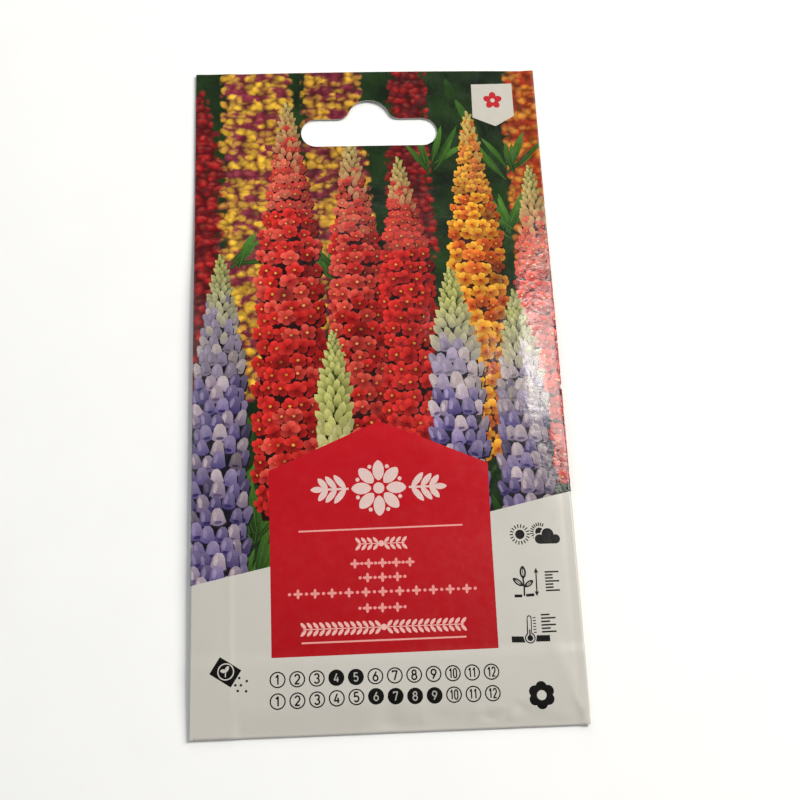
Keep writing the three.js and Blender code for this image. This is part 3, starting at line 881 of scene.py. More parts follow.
def rounded(x0, y0, x1, y1, r, n=5):
    pts = []
    for cx, cy, a in ((x1 - r, y0 + r, -90), (x1 - r, y1 - r, 0), (x0 + r, y1 - r, 90), (x0 + r, y0 + r, 180)):
        pts += arc_points(cx, cy, r, r, a, a + 90, n)
    return [lay(*p) for p in pts]


def back_print():
    """A plain back: a green band, a red stripe with a garland, three pictures of sowing and lines for notes."""
    rng = random.Random(9)
    paint([lay(0, 118), lay(82, 118), lay(82, 156), lay(0, 156)], srgb(16, 32, 13), srgb(30, 58, 22), lay(0, 156), lay(0, 118))
    for k in range(46):
        g = rng.uniform(0.75, 1.2)
        leaf(*lay(rng.uniform(4, 80), rng.uniform(117, 150)), rng.uniform(0.3, 2.8), rng.uniform(7, 12), rng.uniform(1.6, 3.0), srgb(20, 42, 15) * g, srgb(46, 82, 30) * g, rng.uniform(-0.2, 0.2))
    paint([lay(0, 90), lay(84, 90), lay(84, 118), lay(0, 118)], PAPER_WHITE)
    paint([lay(0, 111.5), lay(82, 111.5), lay(82, 119), lay(0, 119)], RED_TOP, RED_LOW, lay(0, 119), lay(0, 111.5))
    for k in range(17):
        x = 4.4 + k * 4.46
        for up in (1, -1):
            lens(*lay(x + 0.5, 115.2 + up * 1.0), up * 0.8, 2.6, 1.1, PALE)
        paint(oval(*lay(x + 2.5, 115.2), 0.42, 0.42, 0, 8), PALE)
    for k in range(3):
        x0 = 7.0 + k * 23.2
        paint(rounded(x0, 85, x0 + 19.6, 104.6, 2.4), INK)
        paint(rounded(x0 + 0.45, 85.45, x0 + 19.15, 104.15, 2.0), PAPER_WHITE)
        for j in range(7):
            x = x0 + 2.3 + j * 2.5
            paint(oval(*lay(x, 88.6 + 0.35 * math.sin(j * 2.1)), 1.45, 0.62, 0, 10), INK)
    # A seed in its hole, a watering can, a seedling.
    paint([lay(15.2, 101.0), lay(17.0, 98.0), lay(18.8, 101.0)], INK)
    paint(bar(*lay(17.0, 102.6), *lay(17.0, 100.6), 0.7), INK)
    paint(oval(*lay(17.0, 95.0), 1.5, 1.05, 0.5, 14), INK)
    for j in (-1, 1):
        stroke([lay(17.0 + j * 3.6, 92.6), lay(17.0 + j * 3.0, 90.6), lay(17.0 + j * 1.4, 90.2)], 0.4, INK)
    x = 41.2
    paint([lay(x - 4.2, 92.2), lay(x + 1.4, 92.2), lay(x + 1.0, 97.8), lay(x - 3.8, 97.8)], INK)
    paint([lay(x + 1.2, 93.4), lay(x + 5.0, 98.6), lay(x + 4.3, 99.1), lay(x + 1.0, 95.4)], INK)
    paint(bar(*lay(x + 3.6, 99.8), *lay(x + 5.6, 98.2), 0.6), INK)
    stroke([lay(x - 3.6, 97.8), lay(x - 2.8, 100.4), lay(x - 0.2, 100.4), lay(x + 0.8, 97.8)], 0.5, INK)
    for j in range(3):
        paint(oval(*lay(x + 5.3 + 0.7 * j, 96.4 - 1.5 * j), 0.32, 0.5, 0, 8), INK)
    x = 63.3
    stroke([lay(x, 89.6), lay(x + 0.2, 94.0), lay(x, 98.6)], 0.5, INK)
    for dx, dy, turn, length in ((-2.4, 94.6, 2.5, 4.6), (2.5, 94.9, 0.65, 4.6), (-2.1, 98.4, 2.2, 4.2), (2.1, 98.6, 0.95, 4.2), (0, 100.8, 1.57, 4.0)):
        lens(*lay(x + dx, dy), turn, length, 1.9, INK, 8)
    # Lines for the gardener's own notes.
    for k in range(7):
        y = 74 - 6.2 * k
        paint(bar(*lay(8.0, y), *lay(72.0, y), 0.24), srgb(120, 116, 110))
    for k in range(6):
        a = 2 * math.pi * k / 6
        lens(*lay(40.0 + 1.9 * math.cos(a), 26.6 + 1.9 * math.sin(a)), a, 2.3, 1.3, RED_TOP, 6)
    paint(oval(*lay(40.0, 26.6), 0.62, 0.62, 0, 12), RED_TOP)
    for side in (1, -1):
        paint(bar(*lay(40.0 + side * 5.0, 26.6), *lay(40.0 + side * 20.0, 26.6), 0.3), RED_TOP)


def layers_for_front():
    """Everything printed, in order. Returns how many shapes belong to the picture."""
    paint([(-46, -96), (46, -96), (46, 80), (-46, 80)], srgb(20, 38, 16))
    picture()
    # Shapes that nothing shows of are dropped: those under the white area or the panel, or off the front.
    kept = LAYERS[:1]
    for item in LAYERS[1:]:
        pts = item[0]
        xs = [p[0] for p in pts]
        ys = [p[1] for p in pts]
        if max(xs) < -42.2 or min(xs) > 42.2 or min(ys) > 77.0:
            continue
        if all(p[1] + HALF_H < 30.7 + 0.216 * (p[0] + HALF_W) for p in pts):
            continue
        if all(-24.2 < p[0] < 22.6 and p[1] < -22.6 + (0.0 if abs(p[0] + 0.5) > 12 else 3.5) for p in pts):
            continue
        kept.append(item)
    LAYERS[:] = kept
    n_picture = len(kept)
    white_area()
    paint([(BACK_0, -96), (126, -96), (126, 80), (BACK_0, 80)], PAPER_WHITE)
    paint([(-56, -96), (FLAP_1, -96), (FLAP_1, 80), (-56, 80)], PAPER_WHITE)
    panel()
    calendar()
    icons()
    badge()
    back_print()
    return n_picture


def triangulate(points, edges, faces, eps):
    """Blender's constrained triangulation, as arrays: places, triangles and each triangle's highest face."""
    out = delaunay_2d_cdt([Vector(p) for p in points], edges, faces, 0, eps)
    v = np.array([tuple(p) for p in out[0]])
    tri = np.array(out[2], dtype=np.int64).reshape(-1, 3)
    top = np.array([max(f) if f else -1 for f in out[5]], dtype=np.int64)
    return v, tri, top, out


def print_map():
    """The printed shapes resolved into what shows: its edges, and a tree that finds the top shape at a point."""
    points, faces = [], []
    base = [(-58, -98), (128, -98), (128, 82), (-58, 82)]
    for pts in [base] + [i[0] for i in LAYERS]:
        faces.append(list(range(len(points), len(points) + len(pts))))
        points += pts
    v, tri, top, _ = triangulate(points, [], faces, 1e-4)
    # Edges between triangles with different tops are the ones that show.
    e = np.concatenate([tri[:, [0, 1]], tri[:, [1, 2]], tri[:, [2, 0]]])
    owner = np.tile(np.arange(len(tri)), 3)
    key = np.sort(e, 1)
    order = np.lexsort((key[:, 1], key[:, 0]))
    key, owner = key[order], owner[order]
    same = (key[1:] == key[:-1]).all(1)
    pair = np.nonzero(same)[0]
    shown = pair[top[owner[pair]] != top[owner[pair + 1]]]
    edges = key[shown]
    tree = BVHTree.FromPolygons([(p[0], p[1], 0.0) for p in v], tri.tolist())
    return v, edges, tree, top


def blank_mesh():
    """Triangulates the flat blank with the print's edges in it. Returns places, triangles and each triangle's shape."""
    pv, pe, tree, top = print_map()
    # Only vertices on shown edges are kept.
    used, inv = np.unique(pe.ravel(), return_inverse=True)
    pts = [tuple(p) for p in pv[used]]
    edges = [tuple(e) for e in inv.reshape(-1, 2)]
    inside = [
        max(pts[a][0], pts[b][0]) < 125 and min(pts[a][0], pts[b][0]) > -55 and max(pts[a][1], pts[b][1]) < 79.9
        for a, b in edges
    ]
    edges = [e for e, keep in zip(edges, inside) if keep]
    # Long edges get points of their own, so that they follow the swell.
    short = []
    for a, b in edges:
        n = math.ceil(math.dist(pts[a], pts[b]) / 1.25)
        last = a
        for k in range(1, n):
            pts.append(tuple(pts[a][i] + (pts[b][i] - pts[a][i]) * k / n for i in (0, 1)))
            short.append((last, len(pts) - 1))
            last = len(pts) - 1
        short.append((last, b))
    edges = short

    def add_line(line):
        first = len(pts)
        pts.extend(line)
        edges.extend((first + k, first + k + 1) for k in range(len(line) - 1))

    faces = []

    def add_face(line):
        first = len(pts)
        pts.extend(line)
        faces.append(list(range(first, first + len(line))))

    low = Y0 - TURN - (-HALF_H + BOTTOM_FLAP - Y0)
    turns = [Y0 - TURN * k / 8 for k in range(1, 9)]
    right = [HALF_W + FOLD * k / 8 for k in range(9)]
    left = [-x for x in right[::-1]]
    add_face(
        spaced(
            [(FLAP_0, Y0), (FLAP_1 - 0.8, Y0)]
            + [(x, CORNER) for x in left]
            + [(-FLAP_IN - 0.08, CORNER), (-FLAP_IN - 0.04, Y0)]
            + [(-FLAP_IN, y) for y in turns]
            + [(-FLAP_IN, low), (FLAP_IN, low)]
            + [(FLAP_IN, y) for y in turns[::-1]]
            + [(FLAP_IN + 0.04, Y0), (FLAP_IN + 0.08, CORNER)]
            + [(x, CORNER) for x in right]
            + [(BACK_0 + 0.8, Y0), (BACK_1, Y0), (BACK_1, HALF_H)]
            + [(x, HALF_H) for x in right[::-1]]
            + [(x, HALF_H) for x in left[::-1]]
            + [(FLAP_0, HALF_H)],
            1.25,
            True,
        )
    )
    slot = np.array(slot_outline())
    xl, xr = HALF_W - r_left(slot[:, 1]), HALF_W - r_right(slot[:, 1])
    front = np.where(slot[:, 0] < 0, slot[:, 0] / xl, slot[:, 0] / xr) * HALF_W
    back = BACK_0 + (xr - slot[:, 0]) * 80.1 / (xr + 40.0)
    add_face([(a, b) for a, b in zip(front, slot[:, 1])])
    add_face([(a, b) for a, b in zip(back, slot[:, 1])][::-1])
    for x in (-HALF_W, FLAP_1, HALF_W, BACK_0):
        add_line(spaced([(x, CORNER), (x, HALF_H)], 1.5))
    # Points that carry the curvature.
    rng = np.random.default_rng(3)
    grid = []
    for y in np.arange(-69.4, HALF_H - 0.4, 1.2):
        for x in np.arange(-39.4, 39.6, 1.2):
            j = rng.uniform(-0.12, 0.12, 2)
            grid.append((x + j[0], y + j[1]))
        for x in (-33.3, -32.8, -32.3, -31.8, -31.3, 31.3, 31.8, 32.3, 32.8, 33.3, 33.8, 36.9, 37.4, 37.9, 38.4, 38.9, 39.4, 39.9):
            grid.append((x, y + 0.6))
    for x in np.arange(-39.6, 39.9, 0.75):
        for y in np.arange(Y0 + 0.35, -70.0, 0.75):
            grid.append((x, y))
    for side in (-1, 1):
        for k in range(0, 9):
            x = side * (HALF_W + FOLD * k / 8)
            for y in np.arange(Y0 + 0.75, HALF_H - 0.3, 1.5):
                grid.append((x, y))
    for x in np.arange(BACK_0 + 1.2, BACK_1 - 0.5, 2.6):
        for y in np.concatenate([np.arange(Y0 + 1.2, -58, 1.0), np.arange(-57, HALF_H - 1, 3.0)]):
            grid.append((x, y))
    for x in np.arange(FLAP_0 + 1.2, FLAP_1 - 0.3, 2.0):
        for y in np.arange(Y0 + 1.2, HALF_H - 1, 3.0):
            grid.append((x, y))
    for x in np.arange(-39.6 + 0.75, 39.7, 0.75):
        for k in range(0, 9):
            grid.append((x, Y0 - TURN * k / 8))
    for x in np.arange(-FLAP_IN + 1.2, FLAP_IN, 1.6):
        for y in np.arange(Y0 - TURN - 2, low + 0.6, -2.4):
            grid.append((x, y))
    pts += grid
    v, tri, face, out = triangulate(pts, edges, faces, 0.012)
    keep = np.array([len(f) == 1 and f[0] == 0 for f in out[5]])
    tri = tri[keep]
    a, b, c = v[tri[:, 0]], v[tri[:, 1]], v[tri[:, 2]]
    mid = (a + b + c) / 3
    shape = np.zeros(len(tri), np.int64)
    for i in range(len(tri)):
        hit = tree.ray_cast((mid[i, 0], mid[i, 1], 1.0), (0.0, 0.0, -1.0), 2.0)
        if hit[2] is not None:
            shape[i] = top[hit[2]]
    used, inv = np.unique(tri.ravel(), return_inverse=True)
    return v[used], inv.reshape(-1, 3), shape


def loops_of(tri):
    """The boundary of a triangulation as closed loops of directed edges."""
    e = np.concatenate([tri[:, [0, 1]], tri[:, [1, 2]], tri[:, [2, 0]]])
    there = set(map(tuple, e.tolist()))
    follow = {a: b for a, b in there if (b, a) not in there}
    loops = []
    while follow:
        start = next(iter(follow))
        loop = [start]
        here = follow.pop(start)
        while here != start:
            loop.append(here)
            here = follow.pop(here)
        loops.append(loop)
    return loops


def corner_colours(v, tri, shape):
    """Each corner's printed colour."""
    n = len(LAYERS) + 1
    c0, c1 = np.zeros((n, 3)), np.zeros((n, 3))
    o, d = np.zeros((n, 2)), np.zeros((n, 2))
    for i, (_, a, b, start, way) in enumerate(LAYERS, 1):
        c0[i], c1[i], o[i], d[i] = a, b, start, way
    corner = v[tri]  # triangles, 3 corners, 2
    s = shape[:, None]
    t = np.clip(((corner - o[s]) * d[s]).sum(2), 0, 1)[..., None]
    out = c0[s] * (1 - t) + c1[s] * t
    ground = np.repeat(shape == 1, 3)
    flat = corner.reshape(-1, 2)
    out = out.reshape(-1, 3)
    out[ground] = dark_ground(flat[ground, 0], flat[ground, 1])
    out[np.repeat(shape == 0, 3)] = PAPER_WHITE
    return out.reshape(-1, 3, 3)


def packet_sheet():
    n_picture = layers_for_front() + 1
    v, tri, shape = blank_mesh()
    colours = corner_colours(v, tri, shape)
    loops = loops_of(tri)
    # The inner face has the same edge and fewer points.
    pts, faces, ids = [], [], []
    for loop in loops:
        faces.append(list(range(len(pts), len(pts) + len(loop))))
        pts += [tuple(v[k]) for k in loop]
        ids += loop
    area = [
        sum(pts[a][0] * pts[b][1] - pts[b][0] * pts[a][1] for a, b in zip(f, f[1:] + f[:1]))
        for f in faces
    ]
    outline = int(np.argmax(np.abs(area)))
    order = [outline] + [k for k in range(len(faces)) if k != outline]
    faces = [faces[k] if area[k] > 0 else faces[k][::-1] for k in order]
    grid = []
    for x in np.concatenate([np.arange(-39, 39.5, 2.6), np.arange(BACK_0 + 2, BACK_1 - 1, 4.0), np.arange(FLAP_0 + 2, FLAP_1, 3.0)]):
        for y in np.arange(Y0 + 2, HALF_H - 1, 3.2):
            grid.append((x, y))
    for side in (-1, 1):
        for k in range(0, 7):
            for y in np.arange(Y0 + 1.5, HALF_H - 1, 3.0):
                grid.append((side * (HALF_W + FOLD * k / 6), y))
    for x in np.arange(-FLAP_IN + 2, FLAP_IN, 3.0):
        for k in range(0, 6):
            grid.append((x, Y0 - TURN * k / 5))
        for y in np.arange(Y0 - TURN - 3, -89, -3.0):
            grid.append((x, y))
    n_edge = len(pts)
    iv, itri, _, out = triangulate(pts + grid, [], faces, 1e-5)
    itri = itri[np.array([len(f) == 1 and f[0] == 0 for f in out[5]])]
    twin = {}
    for k, origins in enumerate(out[3]):
        for q in origins:
            if q < n_edge:
                twin[ids[q]] = k
    # In space.
    outer = place(v[:, 0], v[:, 1])
    n_out = outward(v[:, 0], v[:, 1])
    inner = place(iv[:, 0], iv[:, 1])
    n_in = outward(iv[:, 0], iv[:, 1])
    inner = inner - n_in * PAPER
    base = len(outer)
    wall, wall_u = [], []
    for loop in loops:
        run = 0.0
        for a, b in zip(loop, loop[1:] + loop[:1]):
            step = float(np.linalg.norm(v[a] - v[b]))
            wall.append((b, a, base + twin[a], base + twin[b]))
            wall_u.append((run, run + step))
            run += step
    coords = np.concatenate([outer, inner]) * MM
    inner_tri = itri[:, ::-1] + base
    me = bpy.data.meshes.new("printed_sheet")
    polys = [*tri.tolist(), *inner_tri.tolist(), *wall]
    me.from_pydata(coords.tolist(), [], polys)
    me.validate(verbose=False)
    me.update()
    print("sheet:", len(tri), "outer,", len(itri), "inner,", len(wall), "edge faces; polygons", len(me.polygons), "of", len(polys))
    # Colours, mask and the map for baking, corner by corner.
    n_loops = len(me.loops)
    col = np.ones((n_loops, 4))
    white = PAPER_WHITE * 1.02
    col[:, :3] = white
    k = 3 * len(tri)
    col[:k, :3] = colours.reshape(-1, 3)
    layer = me.color_attributes.new("print", "FLOAT_COLOR", "CORNER")
    layer.data.foreach_set("color", col.astype(np.float32).ravel())
    mid = v[tri].mean(1)
    place_2d = v[tri].reshape(-1, 2)
    much, petal, keel = far_colours(place_2d[:, 0], place_2d[:, 1])
    much = much * np.repeat(shape == 1, 3) * (np.abs(place_2d[:, 0]) < 42.2)
    for name, values in (("petal", petal), ("keel", keel)):
        full = np.ones((n_loops, 4))
        full[:k, :3] = values
        layer = me.color_attributes.new(name, "FLOAT_COLOR", "CORNER")
        layer.data.foreach_set("color", full.astype(np.float32).ravel())
    far = np.zeros(n_loops)
    far[:k] = much
    layer = me.attributes.new("far", "FLOAT", "CORNER")
    layer.data.foreach_set("value", far.astype(np.float32))
    bare = np.abs(colours.mean(1) - PAPER_WHITE).sum(1) < 0.01
    ink = np.zeros(n_loops)
    in_picture = (shape < n_picture) & ~bare
    ink[:k] = np.repeat(np.where(bare, 0.0, np.where(in_picture, 1.0, 0.22)), 3)
    layer = me.attributes.new("ink", "FLOAT", "CORNER")
    layer.data.foreach_set("value", ink.astype(np.float32))
    # Front 0.8 of the width, then the back, the inner face and the edges in a column.
    uv = np.zeros((n_loops, 2))
    c = v[tri].reshape(-1, 2)
    low = -90.6
    tall = HALF_H - low
    f_u = 0.004 + (c[:, 0] + 42.3) / 84.6 * 0.62
    f_v = 0.004 + (c[:, 1] - low) / tall * 0.992
    b_u = 0.632 + (c[:, 0] - 42.1) / 80.2 * 0.30
    b_v = 0.262 + (c[:, 1] + 77) / 154 * 0.73
    s_u = 0.94 + (c[:, 0] - FLAP_0) / 8.0 * 0.02
    s_v = 0.262 + (c[:, 1] + 77) / 154 * 0.4
    m_x = np.repeat(mid[:, 0], 3)
    uv[:k, 0] = np.where(m_x > BACK_0, b_u, np.where(m_x < FLAP_1, s_u, f_u))
    uv[:k, 1] = np.where(m_x > BACK_0, b_v, np.where(m_x < FLAP_1, s_v, f_v))
    c = iv[itri[:, ::-1]].reshape(-1, 2)
    k2 = k + 3 * len(itri)
    uv[k:k2, 0] = 0.634 + (c[:, 0] - FLAP_0) / (BACK_1 - FLAP_0) * 0.36
    uv[k:k2, 1] = 0.006 + (c[:, 1] - low) / tall * 0.245
    w = np.array(wall_u)
    quad = np.zeros((len(wall), 4, 2))
    line = np.floor(w[:, 0] / 60.0)
    span = w[:, 1] - w[:, 0]
    u0 = 0.966 + (w[:, 0] - line * 60.0) / 60.0 * 0.028
    u1 = u0 + np.maximum(span / 60.0 * 0.028, 0.0002)
    v0 = 0.262 + (line % 18) * 0.04
    quad[:, 0] = np.stack([u1, v0], 1)
    quad[:, 1] = np.stack([u0, v0], 1)
    quad[:, 2] = np.stack([u0, v0 + 0.03], 1)
    quad[:, 3] = np.stack([u1, v0 + 0.03], 1)
    uv[k2:] = quad.reshape(-1, 2)
    me.uv_layers.new(name="OFBake", do_init=False).uv.foreach_set("vector", uv.astype(np.float32).ravel())
    # Smooth faces with the sheet's own normals; the cut edges keep theirs.
    normals = np.zeros((n_loops, 3))
    normals[:k] = n_out[tri.ravel()]
    normals[k:k2] = -n_in[itri[:, ::-1].ravel()]
    face_n = np.array([p.normal[:] for p in me.polygons[len(tri) + len(itri):]])
    normals[k2:] = np.repeat(face_n, 4, 0)
    me.polygons.foreach_set("use_smooth", np.ones(len(me.polygons), bool))
    me.normals_split_custom_set(normals.tolist())
    ob = bpy.data.objects.new("printed_sheet", me)
    bpy.context.collection.objects.link(ob)
    return ob


# ---------------------------------------------------------------- materials
class Graph:
    """A short way to write a material's nodes."""

    def __init__(self, name):
        self.mat = bpy.data.materials.new(name)
        self.mat.use_nodes = True
        self.nt = self.mat.node_tree
        self.nt.nodes.clear()
        self.out = self.nt.nodes.new("ShaderNodeOutputMaterial")
        self.bsdf = self.nt.nodes.new("ShaderNodeBsdfPrincipled")
        self.nt.links.new(self.bsdf.outputs[0], self.out.inputs["Surface"])

    def node(self, kind, **inputs):
        n = self.nt.nodes.new("ShaderNode" + kind)
        for key, value in inputs.items():
            self.set(n, key, value)
        return n

    def set(self, n, key, value):
        key = key.replace("_", " ") if isinstance(key, str) else key
        sock = n.inputs[key]
        if isinstance(value, bpy.types.NodeSocket):
            self.nt.links.new(value, sock)
        else:
            sock.default_value = value

    def coords(self):
        return self.node("TexCoord").outputs["Object"]

    def noise(self, vector, scale, detail=2.0, rough=0.5, distortion=0.0):
        n = self.node("TexNoise", Vector=vector, Scale=scale, Detail=detail, Roughness=rough, Distortion=distortion)
        return n.outputs["Fac"]

    def ramp(self, value, low, high, to_low=0.0, to_high=1.0):
        n = self.node("MapRange", Value=value)
        for i, v in ((1, low), (2, high), (3, to_low), (4, to_high)):
            n.inputs[i].default_value = v
        return n.outputs[0]

    def math(self, op, a, b=0.0):
        n = self.nt.nodes.new("ShaderNodeMath")
        n.operation = op
        for i, v in enumerate((a, b)):
            if isinstance(v, bpy.types.NodeSocket):
                self.nt.links.new(v, n.inputs[i])
            else:
                n.inputs[i].default_value = v
        return n.outputs[0]

    def mix(self, kind, fac, a, b):
        n = self.nt.nodes.new("ShaderNodeMix")
        n.data_type = "RGBA"
        n.blend_type = kind
        for i, v in ((0, fac), (6, a), (7, b)):
            if isinstance(v, bpy.types.NodeSocket):
                self.nt.links.new(v, n.inputs[i])
            else:
                n.inputs[i].default_value = v if i == 0 else (*v, 1.0) if len(v) == 3 else v
        return n.outputs[2]

    def bump(self, height, strength, distance, normal=None):
        n = self.node("Bump", Height=height, Strength=strength, Distance=distance)
        if normal is not None:
            self.set(n, "Normal", normal)
        return n.outputs[0]


def paper_material():
    g = Graph("printed_paper")
    p = g.coords()
    attr = g.node("Attribute")
    attr.attribute_name = "print"
    ink = g.node("Attribute")
    ink.attribute_name = "ink"
    # The far stalks, out of focus: soft round florets, some petal-coloured and some keel-coloured, in whorls.
    def attribute(name, out):
        n = g.node("Attribute")
        n.attribute_name = name
        return n.outputs[out]

    far, petal, keel = attribute("far", "Fac"), attribute("petal", "Color"), attribute("keel", "Color")
    bend = g.nt.nodes.new("ShaderNodeTexNoise")
    g.set(bend, "Vector", p)
    g.set(bend, "Scale", 420.0)
    g.set(bend, "Detail", 1.0)

    def scaled(vector, scale, shift=None, by="MULTIPLY"):
        n = g.nt.nodes.new("ShaderNodeVectorMath")
        n.operation = by
        g.set(n, 0, vector)
        n.inputs[1].default_value = scale
        if shift is not None:
            g.set(n, 2, shift)
        return n.outputs[0]

    row = g.node("TexNoise", Vector=scaled(p, (170.0, 330.0, 0.0)), Scale=1.0, Detail=1.0).outputs["Fac"]

    def florets_of(scale, random_share):
        """One layer: the colours of its florets, and how much of a floret there is."""
        warp = scaled(bend.outputs["Color"], (0.75, 0.75, 0.0), scaled(p, scale), "MULTIPLY_ADD")
        cell = g.nt.nodes.new("ShaderNodeTexVoronoi")
        cell.voronoi_dimensions = "2D"
        g.set(cell, "Vector", warp)
        cell.inputs["Scale"].default_value = 1.0
        cell.inputs["Randomness"].default_value = random_share
        local = g.nt.nodes.new("ShaderNodeVectorMath")
        local.operation = "SUBTRACT"
        g.set(local, 0, warp)
        g.set(local, 1, cell.outputs["Position"])
        split = g.node("SeparateXYZ", Vector=local.outputs[0])
        chance = g.node("SeparateColor", Color=cell.outputs["Color"])
        one, two = chance.outputs[0], chance.outputs[1]

        def blob(cx, cy, rx, ry, inner, outer):
            u = g.math("MULTIPLY", g.math("SUBTRACT", split.outputs[0], cx), 1 / rx)
            v = g.math("MULTIPLY", g.math("SUBTRACT", split.outputs[1], cy), 1 / ry)
            d = g.math("SQRT", g.math("ADD", g.math("MULTIPLY", u, u), g.math("MULTIPLY", v, v)))
            n = g.node("MapRange", Value=d)
            n.interpolation_type = "SMOOTHSTEP"
            for i, w in ((1, inner), (2, outer), (3, 1.0), (4, 0.0)):
                n.inputs[i].default_value = w
            return n.outputs[0]

        pick = g.math("ADD", row, g.math("MULTIPLY", g.math("SUBTRACT", one, 0.5), 0.34))
        light = g.ramp(two, 0.0, 1.0, 0.72, 1.45)
        light = g.node("CombineColor", Red=light, Green=light, Blue=light).outputs[0]
        tone = g.mix("MULTIPLY", 1.0, g.mix("MIX", g.ramp(pick, 0.45, 0.53), keel, petal), light)
        body = blob(0.0, 0.0, 1.0, 1.0, 0.14, 0.74)
        shine = g.math("MULTIPLY", blob(-0.10, 0.18, 1.2, 0.9, 0.0, 0.42), g.ramp(one, 0.0, 1.0, 0.1, 0.5))
        deep = g.mix("MULTIPLY", 1.0, keel, (0.46, 0.38, 0.40))
        out = g.mix("MIX", body, deep, tone)
        high = g.mix("MIX", 0.25, g.mix("MULTIPLY", 1.0, tone, (1.3, 1.25, 1.2)), (0.7, 0.5, 0.32))
        return g.mix("MIX", shine, out, high), body

    florets, body = florets_of((430.0, 500.0, 0.0), 0.85)
    others, _ = florets_of((585.0, 640.0, 0.0), 0.95)
    florets = g.mix("MIX", 0.42, florets, others)
    there = g.ramp(g.math("MULTIPLY", far, g.math("ADD", 0.58, g.math("MULTIPLY", body, 0.8))), 0.40, 0.64)
    printed = g.mix("MIX", there, attr.outputs["Color"], florets)
    # Fine print grain and faint fibre clouds in the stock.
    grain = g.noise(p, 3200.0, 3.0, 0.6)
    cloud = g.noise(p, 160.0, 4.0, 0.6)
    blot = g.noise(p, 620.0, 2.0, 0.5, 0.6)
    k = g.math("MULTIPLY", g.ramp(grain, 0.3, 0.7, 0.80, 0.93), g.ramp(cloud, 0.3, 0.7, 0.965, 1.03))
    k = g.math("MULTIPLY", k, g.ramp(blot, 0.32, 0.68, 0.88, 1.08))
    shade = g.node("CombineColor", Red=k, Green=k, Blue=k).outputs[0]
    inked = g.mix("MULTIPLY", 1.0, printed, shade)
    soft = g.ramp(cloud, 0.3, 0.7, 0.988, 1.01)
    soft = g.node("CombineColor", Red=soft, Green=soft, Blue=soft).outputs[0]
    bare = g.mix("MULTIPLY", 1.0, attr.outputs["Color"], soft)
    colour = g.mix("MIX", ink.outputs["Fac"], bare, inked)
    g.set(g.bsdf, "Base Color", colour)
    # The inked picture is glossier than the bare stock.
    rough = g.math("ADD", g.ramp(ink.outputs["Fac"], 0.0, 1.0, 0.34, 0.24), g.ramp(g.noise(p, 420.0, 3.0, 0.55), 0.3, 0.7, -0.04, 0.05))
    g.set(g.bsdf, "Roughness", rough)
    g.set(g.bsdf, "Specular IOR Level", g.ramp(ink.outputs["Fac"], 0.0, 1.0, 0.33, 0.42))
    orange_peel = g.noise(p, 900.0, 2.0, 0.5)
    wave = g.noise(p, 210.0, 2.0, 0.5, 0.4)
    n = g.bump(wave, g.ramp(ink.outputs["Fac"], 0.0, 1.0, 0.05, 0.55), 0.00028)
    n = g.bump(orange_peel, g.ramp(ink.outputs["Fac"], 0.0, 1.0, 0.10, 0.65), 0.00010, n)
    g.set(g.bsdf, "Normal", n)
    return g.mat


def glue_material():
    g = Graph("dried_glue")
    p = g.coords()
    f = g.noise(p, 700.0, 4.0, 0.6)
    g.set(g.bsdf, "Base Color", g.mix("MIX", g.ramp(f, 0.3, 0.7), (0.62, 0.57, 0.45), (0.80, 0.77, 0.68)))
    g.set(g.bsdf, "Roughness", g.ramp(f, 0.3, 0.7, 0.22, 0.45))
    g.set(g.bsdf, "Normal", g.bump(f, 0.4, 0.00005))
    return g.mat


def film_material():
    g = Graph("sachet_film")
    p = g.coords()
    fibre = g.noise(p, 1400.0, 4.0, 0.65, 1.0)
    cloud = g.noise(p, 140.0, 3.0, 0.5)
    t = g.math("MULTIPLY", g.ramp(fibre, 0.3, 0.7, 0.8, 1.0), g.ramp(cloud, 0.3, 0.7, 0.85, 1.0))
    g.set(g.bsdf, "Base Color", g.mix("MIX", t, (0.55, 0.50, 0.40), (0.84, 0.82, 0.75)))
    g.set(g.bsdf, "Roughness", g.ramp(fibre, 0.3, 0.7, 0.36, 0.52))
    g.bsdf.inputs["Sheen Weight"].default_value = 0.1
    g.set(g.bsdf, "Normal", g.bump(g.noise(p, 320.0, 4.0, 0.6), 0.5, 0.0002))
    return g.mat


def seed_material():
    g = Graph("seed_coat")
    p = g.coords()
    spots = g.noise(p, 1500.0, 5.0, 0.65, 0.8)
    patch = g.noise(p, 420.0, 3.0, 0.6, 0.5)
    brown = g.mix("MIX", g.ramp(patch, 0.42, 0.58), (0.10, 0.065, 0.035), (0.30, 0.215, 0.13))
    g.set(g.bsdf, "Base Color", g.mix("MIX", g.ramp(spots, 0.47, 0.55), (0.035, 0.022, 0.014), brown))
    g.set(g.bsdf, "Roughness", g.ramp(patch, 0.3, 0.7, 0.36, 0.52))
    g.set(g.bsdf, "Normal", g.bump(spots, 0.35, 0.00006))
    return g.mat


def floor_material():
    g = Graph("pale_floor")
    p = g.coords()
    f = g.noise(p, 60.0, 4.0, 0.55)
    g.set(g.bsdf, "Base Color", g.mix("MIX", g.ramp(f, 0.3, 0.7), (0.93, 0.93, 0.925), (0.95, 0.95, 0.945)))
    g.set(g.bsdf, "Roughness", g.ramp(f, 0.3, 0.7, 0.75, 0.85))
    g.bsdf.inputs["Specular IOR Level"].default_value = 0.2
    return g.mat


# ---------------------------------------------------------------- scene
def give(node, mat):
    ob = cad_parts[node]
    ob.data.materials.clear()
    ob.data.materials.append(mat)


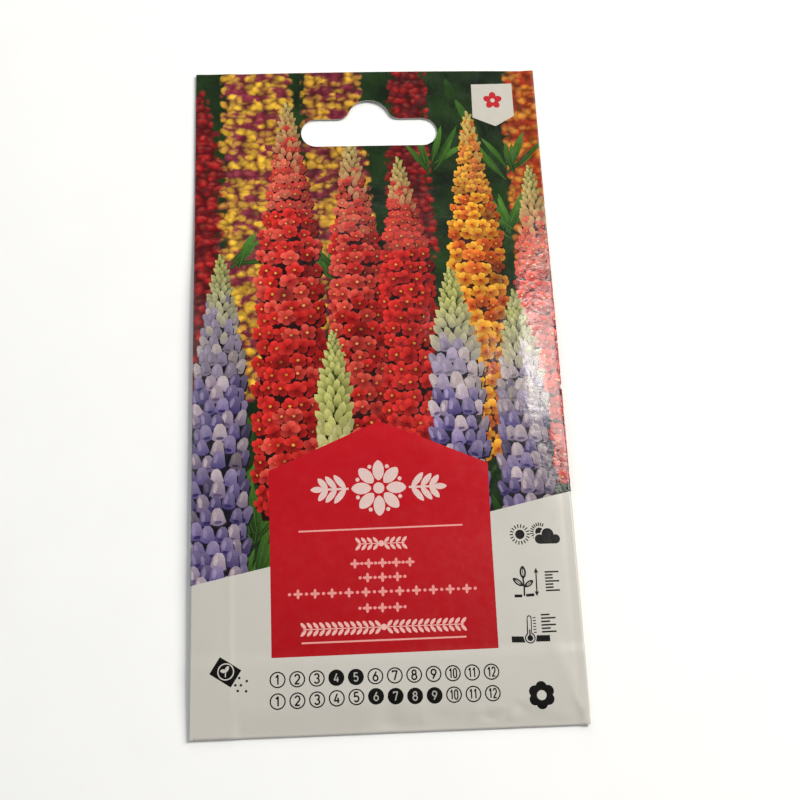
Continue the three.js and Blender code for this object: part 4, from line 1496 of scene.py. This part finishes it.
def build():
    paper, glue, film, seed = paper_material(), glue_material(), film_material(), seed_material()
    sheet = packet_sheet()
    sheet.data.materials.append(paper)
    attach(sheet, "root")
    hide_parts("packet_sheet")
    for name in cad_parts:
        if name.startswith("seed_"):
            give(name, seed)
        elif name.endswith("_glue"):
            give(name, glue)
        elif name.startswith("inner_sachet"):
            give(name, film)


def camera():
    cam = bpy.data.cameras.new("camera")
    cam.sensor_width = 36.0
    cam.lens = 56.7
    cam.clip_start = 0.01
    ob = bpy.data.objects.new("camera", cam)
    bpy.context.collection.objects.link(ob)
    turn = Matrix(
        (
            (0.99823, 0.027069, -0.052958),
            (-0.04275, 0.945612, -0.322475),
            (0.041349, 0.324168, 0.945095),
        )
    )
    ob.matrix_world = Matrix.Translation((-0.0099483, -0.0955383, 0.261908)) @ turn.to_4x4()
    bpy.context.scene.camera = ob


def lamp(name, place_at, target, size, power, colour, size_y=None):
    data = bpy.data.lights.new(name, "AREA")
    data.energy = power
    data.color = colour
    data.size = size
    if size_y:
        data.shape = "RECTANGLE"
        data.size_y = size_y
    ob = bpy.data.objects.new(name, data)
    bpy.context.collection.objects.link(ob)
    ob.location = place_at
    ob.rotation_euler = (Vector(target) - Vector(place_at)).to_track_quat("-Z", "Y").to_euler()
    return ob


def stage():
    me = bpy.data.meshes.new("floor")
    n, half = 24, 3.0
    verts = [(-half + 2 * half * i / n, -half + 2 * half * j / n, -0.00004) for j in range(n + 1) for i in range(n + 1)]
    faces = [
        (j * (n + 1) + i, j * (n + 1) + i + 1, (j + 1) * (n + 1) + i + 1, (j + 1) * (n + 1) + i)
        for j in range(n)
        for i in range(n)
    ]
    me.from_pydata(verts, [], faces)
    floor = bpy.data.objects.new("floor", me)
    bpy.context.collection.objects.link(floor)
    me.materials.append(floor_material())
    world = bpy.data.worlds.new("studio")
    world.use_nodes = True
    world.node_tree.nodes["Background"].inputs[0].default_value = (0.97, 0.985, 1.0, 1)
    world.node_tree.nodes["Background"].inputs[1].default_value = 0.13
    bpy.context.scene.world = world
    lamp("key", (0.72, 0.28, 0.62), (0.0, 0.0, 0.0), 0.45, 7.65, (1.0, 0.975, 0.925), 0.5)
    lamp("left", (-1.0, 0.25, 0.75), (0.0, 0.0, 0.0), 0.9, 2.95, (0.885, 0.945, 1.0))
    lamp("back", (-0.1, 1.25, 0.65), (0.0, 0.0, 0.0), 0.9, 4.6, (0.985, 0.99, 1.0), 0.5)
    lamp("front", (-0.1, -1.2, 0.42), (0.0, 0.0, 0.0), 0.9, 3.0, (0.985, 0.99, 1.0))
    lamp("window", (0.50, 0.38, 0.84), (0.0, 0.38, 0.0), 0.23, 4.1, (1.0, 0.98, 0.92), 0.18)
    bpy.context.scene.view_settings.view_transform = "Standard"


camera()
build()
stage()
